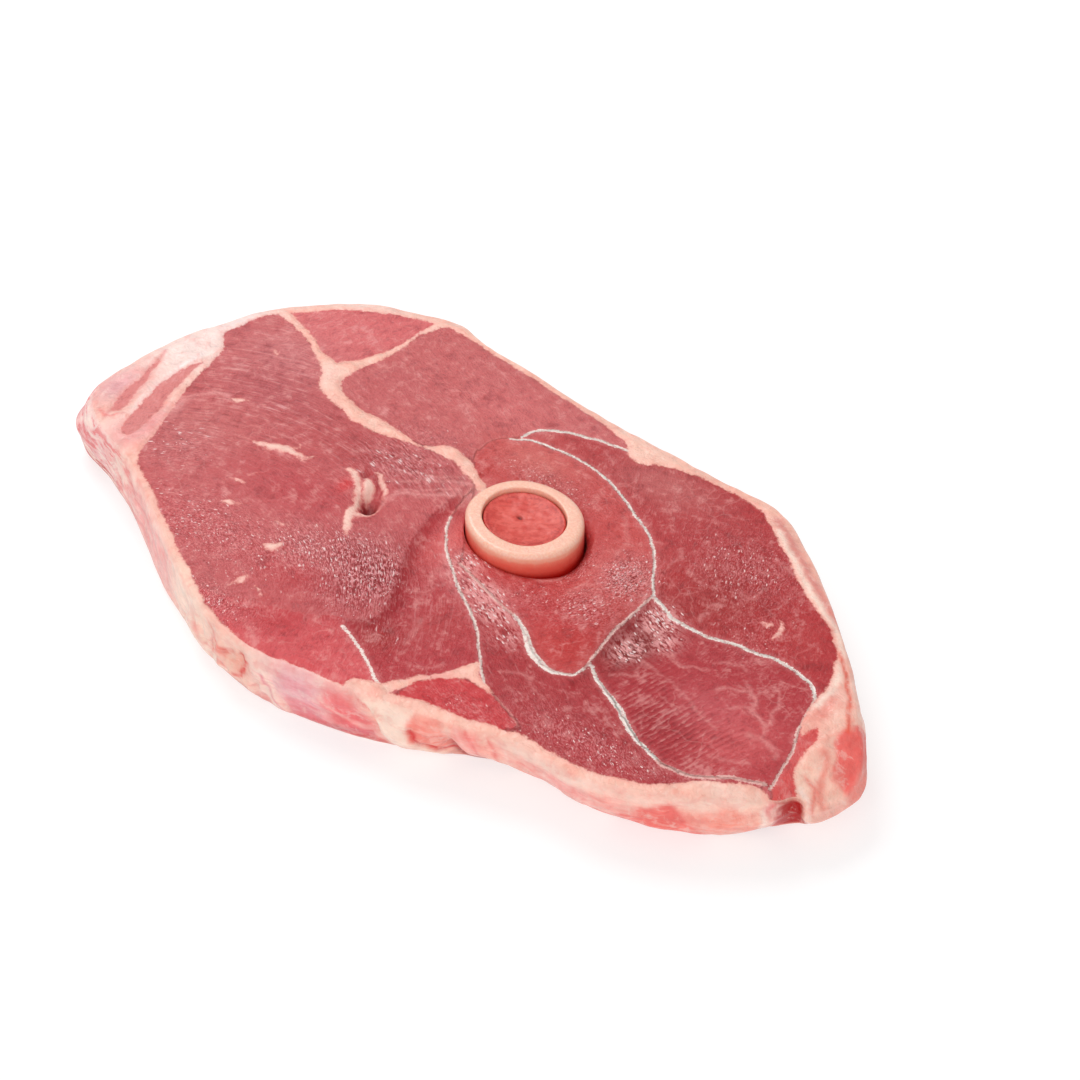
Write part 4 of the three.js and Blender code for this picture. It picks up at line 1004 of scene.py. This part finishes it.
def make_bone():
    """The sawn thigh bone: a slightly uneven tube with worn edges."""
    top = BONE_HIGH[2]
    bevel = 1.1

    def outer(grow):
        return lambda a: oval(BONE_REACH, a, grow + wobble(a))

    def inner(grow):
        return lambda a: oval(HOLLOW_REACH, a, grow + 0.6 * wobble(a + 2), HOLLOW_SHIFT)

    def wobble(a):
        return 0.12 * np.sin(2 * a + 0.6) + 0.07 * np.sin(5 * a + 1.9) - 0.12

    def at(z, ripple=0.0):
        return lambda a: np.full(len(a), z) + ripple * np.sin(3 * a + 1)

    profile = [(outer(0), at(z)) for z in np.linspace(0.0, top - bevel, 22)]
    profile += [(outer(-bevel * (1 - math.cos(t))), at(top - bevel * (1 - math.sin(t)), 0.05))
                for t in np.linspace(0.2, math.pi / 2, 8)]
    profile += [(lambda a, t=t: outer(-bevel)(a) * (1 - t) + inner(0.25)(a) * t, at(top, 0.05))
                for t in np.linspace(0.1, 0.9, 10)]
    profile += [(inner(0.25 - 0.3 * math.sin(t)), at(top - 0.3 * (1 - math.cos(t)), 0.05))
                for t in np.linspace(0, math.pi / 2, 5)]
    profile += [(inner(-0.05), at(z)) for z in np.linspace(top - 1, 0.0, 14)]
    points, faces, angles = ring_mesh("leg_bone", profile)
    last = (len(profile) - 1) * len(angles)
    k = np.arange(len(angles))
    after = (k + 1) % len(angles)
    faces += np.stack([last + k, k, after, last + after], 1).tolist()
    bone = mesh_object("bone", points, faces)
    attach(bone, "root")
    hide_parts("leg_bone")
    return bone


MARROW_DOT = (-0.6, 8.2)
MARROW_TURN = math.radians(-30)  # brings the marrow's faint lines onto X


def make_marrow():
    """The marrow: a soft plug with a granular, slightly sunken face."""
    top = BONE_HIGH[2] - 0.8
    turns = 128
    angles = np.linspace(0, -2 * math.pi, turns, endpoint=False)
    rings = [np.column_stack([oval(HOLLOW_REACH, angles, -0.3, HOLLOW_SHIFT), np.full(turns, z)])
             for z in np.linspace(0.0, top - 0.5, 8)]
    for share in np.linspace(0.97, 0.0, 40)[:-1]:
        plan = oval([r - 0.3 for r in HOLLOW_REACH], angles, 0, HOLLOW_SHIFT) * share
        plan += (1 - share) * (np.array(BONE_AT) + HOLLOW_SHIFT)
        grains = 0.05 * noise(plan, 0.8, 21) + 0.05 * noise(plan, 2.2, 22)
        dish = top - 0.7 * (1 - share**2) + grains * ramp(np.full(turns, 1 - share), 0, 0.1)
        dish -= 0.4 * dab(plan, MARROW_DOT, (0.5, 0.35))
        rings.append(np.column_stack([plan, dish]))
    points = np.vstack(rings)
    centre = np.array([[BONE_AT[0] + HOLLOW_SHIFT[0], BONE_AT[1] + HOLLOW_SHIFT[1], top - 0.7],
                       [BONE_AT[0] + HOLLOW_SHIFT[0], BONE_AT[1] + HOLLOW_SHIFT[1], 0.0]])
    faces = quads(len(rings), turns).tolist()
    last, middle = (len(rings) - 1) * turns, len(points)
    faces += [(last + k, middle, last + (k + 1) % turns) for k in range(turns)]
    faces += [(k, (k + 1) % turns, middle + 1) for k in range(turns)]
    points = np.vstack([points, centre])
    marrow = mesh_object("marrow_face", points, faces)
    place = (points[:, :2] - BONE_AT - HOLLOW_SHIFT) / HOLLOW_REACH
    share = np.hypot(place[:, 0], place[:, 1])
    store(marrow, "edge", ramp(share, 0.5, 0.95))
    store(marrow, "rings", np.exp(-(((share - 0.83) / 0.03) ** 2)) + 0.7 * np.exp(-(((share - 0.94) / 0.03) ** 2)))
    store(marrow, "dot", 0.9 * dab(points[:, :2], MARROW_DOT, (0.6, 0.45)))
    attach(marrow, "root")
    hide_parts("marrow")
    return marrow


# ---------------------------------------------------------------- materials


class Shader:
    """Short names for building a node material."""

    def __init__(self, name):
        self.material = bpy.data.materials.new(name)
        self.material.use_nodes = True
        self.tree = self.material.node_tree
        self.bsdf = self.tree.nodes["Principled BSDF"]
        self.output = self.tree.nodes["Material Output"]

    def node(self, kind, **settings):
        made = self.tree.nodes.new(kind)
        for key, value in settings.items():
            setattr(made, key, value)
        return made

    def put(self, socket, value):
        """Links a socket to a socket, or sets a plain value."""
        if isinstance(value, bpy.types.NodeSocket):
            self.tree.links.new(value, socket)
        elif isinstance(value, (tuple, list, np.ndarray)) and len(value) == 3 and socket.type == "RGBA":
            socket.default_value = (*value, 1)
        else:
            socket.default_value = value

    def attribute(self, name, output="Fac"):
        return self.node("ShaderNodeAttribute", attribute_name=name).outputs[output]

    def position(self):
        """The object's own coordinates, in millimetres."""
        made = self.node("ShaderNodeVectorMath", operation="SCALE")
        self.put(made.inputs[0], self.node("ShaderNodeTexCoord").outputs["Object"])
        made.inputs["Scale"].default_value = 1 / MM
        return made.outputs[0]

    def stretch(self, vector, scale):
        made = self.node("ShaderNodeVectorMath", operation="MULTIPLY")
        self.put(made.inputs[0], vector)
        made.inputs[1].default_value = scale
        return made.outputs[0]

    def bent(self, vector, amount, size):
        """A vector pushed about by noise."""
        push = self.noise(vector, 1 / size, detail=1, output="Color")
        scaled = self.node("ShaderNodeVectorMath", operation="MULTIPLY_ADD")
        self.put(scaled.inputs[0], push)
        scaled.inputs[1].default_value = (2 * amount,) * 3
        scaled.inputs[2].default_value = (-amount,) * 3
        total = self.node("ShaderNodeVectorMath", operation="ADD")
        self.put(total.inputs[0], vector)
        self.put(total.inputs[1], scaled.outputs[0])
        return total.outputs[0]

    def noise(self, vector, scale, detail=3.0, roughness=0.55, output="Fac"):
        made = self.node("ShaderNodeTexNoise")
        self.put(made.inputs["Vector"], vector)
        made.inputs["Scale"].default_value = scale
        made.inputs["Detail"].default_value = detail
        made.inputs["Roughness"].default_value = roughness
        return made.outputs[output]

    def cells(self, vector, scale, feature="F1"):
        made = self.node("ShaderNodeTexVoronoi", feature=feature)
        self.put(made.inputs["Vector"], vector)
        made.inputs["Scale"].default_value = scale
        return made.outputs["Distance"]

    def marks(self, vector, scale, size, share):
        """Small separate marks: one in the middle of that share of the cells, and of that size in cells."""
        cell = self.node("ShaderNodeTexVoronoi")
        self.put(cell.inputs["Vector"], vector)
        cell.inputs["Scale"].default_value = scale
        draw = self.node("ShaderNodeSeparateColor")
        self.put(draw.inputs[0], cell.outputs["Color"])
        chosen = self.span(self.math("SUBTRACT", draw.outputs[0], self.math("SUBTRACT", 1.0, share)), 0.0, 0.1)
        return self.times(self.span(cell.outputs["Distance"], size, size * 0.4), chosen)

    def turned(self, vector, angle):
        """A vector turned about Z."""
        made = self.node("ShaderNodeVectorRotate", rotation_type="Z_AXIS")
        self.put(made.inputs["Vector"], vector)
        made.inputs["Angle"].default_value = angle
        return made.outputs[0]

    def parts(self, vector):
        split = self.node("ShaderNodeSeparateXYZ")
        self.put(split.inputs[0], vector)
        return split.outputs

    def math(self, operation, a, b=0.0, c=0.0, clamp=False):
        made = self.node("ShaderNodeMath", operation=operation, use_clamp=clamp)
        for socket, value in zip(made.inputs, (a, b, c)):
            self.put(socket, value)
        return made.outputs[0]

    def add(self, *terms):
        total = terms[0]
        for term in terms[1:]:
            total = self.math("ADD", total, term)
        return total

    def times(self, *factors):
        total = factors[0]
        for factor in factors[1:]:
            total = self.math("MULTIPLY", total, factor)
        return total

    def around_zero(self, value, scale):
        """A value round one half, moved to lie round zero and scaled."""
        return self.math("MULTIPLY_ADD", value, scale, -scale / 2)

    def span(self, value, low, high, to_low=0.0, to_high=1.0, smooth=True):
        made = self.node("ShaderNodeMapRange", interpolation_type="SMOOTHSTEP" if smooth else "LINEAR")
        self.put(made.inputs["Value"], value)
        for key, number in (("From Min", low), ("From Max", high), ("To Min", to_low), ("To Max", to_high)):
            self.put(made.inputs[key], number)
        return made.outputs[0]

    def mix(self, amount, a, b, blend="MIX"):
        made = self.node("ShaderNodeMix", data_type="RGBA", blend_type=blend)
        self.put(made.inputs[0], amount)
        self.put(made.inputs[6], a)
        self.put(made.inputs[7], b)
        return made.outputs[2]

    def scaled(self, colour, factor):
        """A colour made lighter or darker."""
        made = self.node("ShaderNodeVectorMath", operation="SCALE")
        self.put(made.inputs[0], colour)
        self.put(made.inputs["Scale"], factor)
        return made.outputs[0]

    def bump(self, height, distance, strength=1.0, normal=None):
        made = self.node("ShaderNodeBump")
        self.put(made.inputs["Height"], height)
        made.inputs["Distance"].default_value = distance
        self.put(made.inputs["Strength"], strength)
        if normal is not None:
            self.put(made.inputs["Normal"], normal)
        return made.outputs[0]

    def finish(self, **inputs):
        for key, value in inputs.items():
            self.put(self.bsdf.inputs[key.replace("_", " ")], value)
        return self.material


def meat_material():
    """Wet lean with fibres and painted glints and sheen, white seams and flecks of fat, and a rim of waxy fat."""
    s = Shader("raw_lamb")
    place = s.position()
    grain = s.attribute("grain", "Vector")
    skin = s.attribute("skin", "Vector")
    side = s.attribute("side")
    glisten = s.attribute("glisten")
    silky = s.attribute("wrinkled")
    streaky = s.attribute("streaky")

    ragged = s.around_zero(s.noise(place, 1.1, detail=4), 1.1)
    fine = s.around_zero(s.noise(place, 2.6, detail=2), 0.5)
    fat_edge = s.add(s.attribute("fat"), ragged, fine)
    fleck_edge = s.add(s.attribute("fleck"), ragged, fine)
    fat = s.span(fat_edge, -0.3, 0.22)
    fleck = s.span(fleck_edge, -0.2, 0.4)

    # lean: mottled, with fibres paler and darker than the rest
    fibre = s.bent(grain, 0.8, 5.0)
    streaks = s.noise(s.stretch(fibre, (0.14, 1.2, 1.0)), 1.2, detail=4, roughness=0.62)
    mottle = s.noise(s.bent(place, 0.8, 2.0), 0.6, detail=5, roughness=0.68)
    blotches = s.noise(s.bent(place, 1.5, 4.0), 0.14, detail=3)
    grains = s.noise(s.stretch(fibre, (0.7, 1.3, 1.0)), 2.0, detail=3, roughness=0.6)
    wave = s.math("SINE", s.add(s.times(s.parts(grain)["Y"], 2 * math.pi / RIPPLE), s.around_zero(mottle, 5.0)))
    ripple = s.times(wave, s.attribute("rippled"))
    tint = s.attribute("tint", "Vector")
    clouds = s.noise(s.bent(place, 1.2, 3.0), 0.36, detail=2)
    tone = s.add(s.around_zero(blotches, 1.0), s.around_zero(clouds, 1.3), s.around_zero(mottle, 1.5),
                 s.around_zero(grains, 0.8), s.times(s.around_zero(streaks, 1.0), s.add(s.times(streaky, 0.6), 0.35)),
                 s.times(ripple, 0.26))
    lean = s.mix(s.span(tone, 0.0, 0.62), tint, s.mix(0.45, tint, base((246, 180, 176))))
    lean = s.mix(s.span(tone, 0.0, -0.62), lean, s.stretch(tint, (0.7, 0.5, 0.54)))
    patchy = s.span(s.noise(place, 0.3, detail=2), 0.4, 0.6, 0.3, 1.0)
    lean = s.mix(s.times(s.span(streaks, 0.54, 0.7), s.add(s.times(streaky, 0.5), 0.05), patchy), lean, base((240, 182, 180)))
    lean = s.mix(s.times(s.span(streaks, 0.46, 0.32), s.times(streaky, 0.35)), lean, base((156, 64, 72)))
    web = s.cells(s.bent(place, 1.6, 3.0), 0.2, feature="DISTANCE_TO_EDGE")
    webbed = s.times(s.span(web, 0.05, 0.0), s.span(s.noise(place, 0.12, detail=2), 0.5, 0.62))
    lean = s.mix(s.times(webbed, 0.22), lean, base((238, 170, 166)))
    broken = s.span(s.noise(place, 1.1, detail=2), 0.3, 0.55, 0.5, 1.0)
    lean = s.mix(s.times(s.attribute("vein"), broken, 0.85), lean, base((244, 176, 172)))

    # painted glints of the wet surface: pale dashes along the fibres and dots laid over the colour as highlights, dark
    # between them, and silk where a thin sheet is drawn over, with a painted sheen of pale streaks and glints
    dash_place = s.stretch(s.bent(grain, 0.35, 1.2), (0.42, 1.3, 1.0))
    painted_glint_dashes = s.marks(dash_place, 2.0, 0.42, s.times(glisten, 0.55))
    painted_glint_dots = s.marks(s.bent(place, 0.2, 0.6), 2.7, 0.46, s.add(s.times(glisten, 0.3), 0.015))
    painted_glint_marks = s.math("MAXIMUM", painted_glint_dashes, painted_glint_dots)
    gaps = s.noise(s.stretch(fibre, (0.6, 1.4, 1.0)), 1.3, detail=3, roughness=0.65)
    dark = s.times(s.span(gaps, 0.5, 0.36), s.add(s.times(glisten, 0.4), 0.05))
    lean = s.mix(dark, lean, base((146, 54, 62)))
    flakes = s.noise(s.stretch(fibre, (0.8, 1.9, 1.0)), 2.2, detail=2)
    lean = s.mix(s.times(s.span(flakes, 0.49, 0.4), glisten, 0.8), lean, base((140, 48, 60)))
    # painted sheen: pale flakes and fibre gaps where the lean glistens
    lean = s.mix(s.times(s.span(flakes, 0.51, 0.59), glisten, 0.9), lean, base((238, 170, 172)))
    lean = s.mix(s.times(s.span(gaps, 0.52, 0.66), glisten, 0.45), lean, base((232, 160, 162)))
    # painted highlights: the glint marks laid over the colour in near white
    gleam = s.span(s.noise(place, 0.7, detail=2), 0.36, 0.56, 0.55, 1.0)
    lean = s.mix(s.times(painted_glint_marks, gleam), lean, base((255, 222, 220)))
    drawn = s.stretch(s.turned(s.bent(place, 0.4, 1.5), SILK_TURN), (0.4, 1.5, 1.0))
    silk = s.noise(drawn, 1.25, detail=4, roughness=0.7)
    sheet = s.math("MINIMUM", s.times(silky, 1.5), 1.0)
    # painted sheen on the silk: pale streaks and near-white glint marks, darker streaks between
    lean = s.mix(s.times(s.span(silk, 0.44, 0.55), sheet, 0.85), lean, base((244, 178, 176)))
    lean = s.mix(s.times(s.span(silk, 0.45, 0.39), sheet, 0.75), lean, base((146, 46, 56)))
    lean = s.mix(s.times(s.marks(drawn, 1.9, 0.48, s.times(sheet, 0.5)), 0.95), lean, base((255, 232, 230)))

    # thin seams
    seam_edge = s.add(s.attribute("seam"), s.times(fine, 1.2), s.around_zero(s.noise(place, 4.0, detail=2), 0.7))
    beads = s.span(s.noise(place, 1.5, detail=3), 0.34, 0.52, 0.55, 1.0)
    white = s.attribute("seam_white")
    seam = s.times(s.span(seam_edge, -0.22, -0.02), s.span(white, 0.0, 0.7), beads)
    halo = s.times(s.span(seam_edge, -1.2, 0.0), white, 0.25)
    lean = s.mix(halo, lean, base((236, 156, 156)))
    lean = s.mix(seam, lean, s.mix(white, base((238, 146, 136)), base((255, 240, 232))))

    # fat
    patches = s.noise(place, 0.35, detail=4)
    strand = s.noise(s.stretch(s.bent(skin, 1.4, 5.0), (0.2, 0.9, 1.0)), 0.7, detail=5, roughness=0.65)
    layered = s.attribute("layered")
    fat_here = s.scaled(s.attribute("fat_tint", "Vector"), s.add(1.0, s.around_zero(patches, 0.4)))
    flushed = s.noise(s.bent(place, 1.0, 3.0), 0.45, detail=4, roughness=0.65)
    fat_here = s.mix(s.span(flushed, 0.5, 0.68, 0.0, 0.5), fat_here, s.stretch(fat_here, (0.96, 0.66, 0.64)))
    fat_here = s.mix(s.span(flushed, 0.47, 0.34, 0.0, 0.3), fat_here, waxy((255, 226, 214)))
    fat_here = s.mix(s.times(s.span(strand, 0.5, 0.6), layered, 0.75), fat_here, waxy((255, 228, 216)))
    fat_here = s.mix(s.times(s.span(strand, 0.49, 0.4), layered, 0.75), fat_here, waxy((232, 116, 118)))
    near_lean = s.times(s.span(fat_edge, 0.0, 0.9, 1.0, 0.0), 0.35)
    fat_colour = s.mix(near_lean, fat_here, waxy((244, 168, 158)))
    fleck_colour = s.mix(s.span(fleck_edge, 0.0, 0.9), waxy((240, 166, 158)), waxy((254, 214, 200)))

    colour = s.mix(s.times(fleck, 0.9), lean, fleck_colour)
    colour = s.mix(fat, colour, fat_colour)

    # relief finer than the mesh
    any_fat = s.math("MAXIMUM", fat, fleck)
    lean_relief = s.add(s.times(grains, 0.45), s.times(mottle, 1.3), s.times(gaps, s.add(s.times(glisten, 0.7), 0.2)),
                        s.times(flakes, glisten, 0.7), s.times(painted_glint_marks, 0.12),
                        s.times(silk, silky, 1.0), s.times(streaks, s.add(s.times(streaky, 0.6), 0.3)),
                        s.times(ripple, 0.5))
    fat_relief = s.add(s.times(patches, 2.0), s.times(flushed, 1.1), s.times(strand, side, 1.4), LEVEL_WITH_LEAN)
    relief = s.add(s.times(lean_relief, s.math("SUBTRACT", 1.0, any_fat)), s.times(fat_relief, any_fat), s.times(seam, 0.03))
    normal = s.bump(relief, 0.4 * MM, 0.9)

    wet = s.noise(place, 0.5, detail=2)
    rough = s.add(s.span(wet, 0.35, 0.7, 0.44, 0.3), s.times(any_fat, 0.08), s.times(glisten, -0.1))
    s.finish(Base_Color=colour, Roughness=rough, Normal=normal, Coat_Normal=normal)
    s.bsdf.inputs["Subsurface Weight"].default_value = 0.1
    s.bsdf.inputs["Subsurface Radius"].default_value = (1.0, 0.4, 0.3)
    s.bsdf.inputs["Subsurface Scale"].default_value = 0.8 * MM
    s.bsdf.inputs["Coat Weight"].default_value = 0.35
    s.bsdf.inputs["Coat Roughness"].default_value = 0.14
    s.bsdf.inputs["Specular IOR Level"].default_value = 0.25
    s.bsdf.inputs["IOR"].default_value = 1.4
    return s.material


def bone_material():
    """Sawn bone: cream on the cut, flushed with red down its side."""
    s = Shader("sawn_bone")
    place = s.position()
    split = s.node("ShaderNodeSeparateXYZ")
    s.put(split.inputs[0], place)
    z = s.add(split.outputs["Z"], s.around_zero(s.noise(place, 0.5, detail=3), 0.9))
    top = float(BONE_HIGH[2])
    pores = s.noise(place, 2.4, detail=3)
    cut = s.mix(s.span(pores, 0.35, 0.7), waxy((250, 192, 170)), waxy((254, 208, 188)))
    colour = s.mix(s.span(z, top - 5.5, top - 3.2), waxy((224, 82, 80)), waxy((246, 124, 112)))
    colour = s.mix(s.span(z, top - 3.4, top - 1.4), colour, waxy((254, 158, 138)))
    colour = s.mix(s.span(z, top - 2.0, top - 1.2), colour, waxy((255, 190, 166)))
    colour = s.mix(s.span(z, top - 1.0, top - 0.45), colour, cut)
    normal = s.bump(s.add(pores, s.times(s.noise(place, 0.9, detail=3), 1.5)), 0.12 * MM, 0.6)
    s.finish(Base_Color=colour, Roughness=s.span(pores, 0.3, 0.7, 0.3, 0.42), Normal=normal)
    s.bsdf.inputs["Subsurface Weight"].default_value = 0.2
    s.bsdf.inputs["Subsurface Radius"].default_value = (1.0, 0.5, 0.3)
    s.bsdf.inputs["Subsurface Scale"].default_value = 1.2 * MM
    s.bsdf.inputs["Coat Weight"].default_value = 0.3
    s.bsdf.inputs["Coat Roughness"].default_value = 0.18
    return s.material


def marrow_material():
    """Moist pink marrow with darker grains round its edge."""
    s = Shader("marrow")
    place = s.position()
    grains = s.noise(s.bent(place, 0.4, 0.9), 1.6, detail=4, roughness=0.65)
    cloud = s.noise(place, 0.4, detail=3)
    colour = s.mix(s.span(cloud, 0.38, 0.6), base((216, 98, 92)), base((228, 116, 108)))
    edge = s.attribute("edge")
    colour = s.mix(s.times(s.span(grains, 0.5, 0.36), s.add(s.times(edge, 0.4), 0.15)), colour, base((172, 62, 60)))
    lines = s.noise(s.stretch(s.turned(s.bent(place, 0.4, 2.0), MARROW_TURN), (0.3, 1.6, 1.0)), 0.8, detail=4)
    colour = s.mix(s.times(s.span(lines, 0.5, 0.38), 0.3), colour, base((186, 80, 74)))
    faint = s.times(s.attribute("rings"), s.span(s.noise(place, 0.5, detail=2), 0.4, 0.6, 0.1, 0.6))
    colour = s.mix(faint, colour, base((176, 62, 60)))
    colour = s.mix(s.attribute("dot"), colour, base((120, 34, 36)))
    normal = s.bump(s.add(s.times(grains, s.add(edge, 0.3)), s.times(cloud, 0.4)), 0.15 * MM, 0.5)
    s.finish(Base_Color=colour, Roughness=0.5, Normal=normal)
    s.bsdf.inputs["Subsurface Weight"].default_value = 0.2
    s.bsdf.inputs["Subsurface Radius"].default_value = (1.0, 0.35, 0.25)
    s.bsdf.inputs["Subsurface Scale"].default_value = 1.0 * MM
    s.bsdf.inputs["Coat Weight"].default_value = 0.12
    s.bsdf.inputs["Coat Roughness"].default_value = 0.25
    return s.material


def floor_material():
    """Plain white paper with a barely uneven tone."""
    s = Shader("white_floor")
    tone = s.noise(s.position(), 0.01, detail=1)
    s.finish(Base_Color=s.mix(tone, (0.40, 0.40, 0.40), (0.42, 0.42, 0.42)), Roughness=0.8)
    s.bsdf.inputs["Emission Color"].default_value = (1, 1, 1, 1)
    s.bsdf.inputs["Emission Strength"].default_value = 0.62
    return s.material


# ---------------------------------------------------------------- the stage

CAMERA_AZIMUTH, CAMERA_ELEVATION = math.radians(36), math.radians(42)
CAMERA_AIM = (4.71, 7.13, THICKNESS)  # plan point in the middle of the picture
CAMERA_DISTANCE = 545.45
LENS, SENSOR = 100.0, 36.0


def in_frame(point):
    """A plan point in millimetres as a place in the frame."""
    return Vector((point[0] + PLAN_SHIFT[0], point[1] + PLAN_SHIFT[1], point[2])) * MM


def make_camera():
    data = bpy.data.cameras.new("camera")
    data.lens, data.sensor_width = LENS, SENSOR
    camera = bpy.data.objects.new("camera", data)
    bpy.context.scene.collection.objects.link(camera)
    flat = math.cos(CAMERA_ELEVATION)
    away = Vector((math.sin(CAMERA_AZIMUTH) * flat, -math.cos(CAMERA_AZIMUTH) * flat, math.sin(CAMERA_ELEVATION)))
    camera.location = in_frame(CAMERA_AIM) + away * CAMERA_DISTANCE * MM
    camera.rotation_euler = away.to_track_quat("Z", "Y").to_euler()
    bpy.context.scene.camera = camera


def area_light(name, azimuth, elevation, distance, size, power, colour=(1, 1, 1)):
    data = bpy.data.lights.new(name, "AREA")
    data.shape, data.size, data.energy, data.color = "DISK", size, power, colour
    light = bpy.data.objects.new(name, data)
    bpy.context.scene.collection.objects.link(light)
    a, e = math.radians(azimuth), math.radians(elevation)
    away = Vector((math.sin(a) * math.cos(e), -math.cos(a) * math.cos(e), math.sin(e)))
    light.location = away * distance
    light.rotation_euler = away.to_track_quat("Z", "Y").to_euler()


def make_stage():
    bpy.ops.mesh.primitive_plane_add(size=6)
    floor = bpy.context.object
    floor.name = "floor"
    floor.data.materials.append(floor_material())
    world = bpy.data.worlds.new("studio")
    world.use_nodes = True
    world.node_tree.nodes["Background"].inputs[0].default_value = (1, 1, 1, 1)
    world.node_tree.nodes["Background"].inputs[1].default_value = 0.57
    bpy.context.scene.world = world
    area_light("key", 245, 52, 0.9, 0.5, 3.5)
    area_light("fill", 24, 36, 1.1, 0.9, 4.0)
    bpy.context.scene.view_settings.view_transform = "Standard"
    bpy.context.scene.view_settings.look = "None"


# ---------------------------------------------------------------- making it

make_camera()
make_stage()
make_meat().data.materials.append(meat_material())
make_bone().data.materials.append(bone_material())
make_marrow().data.materials.append(marrow_material())
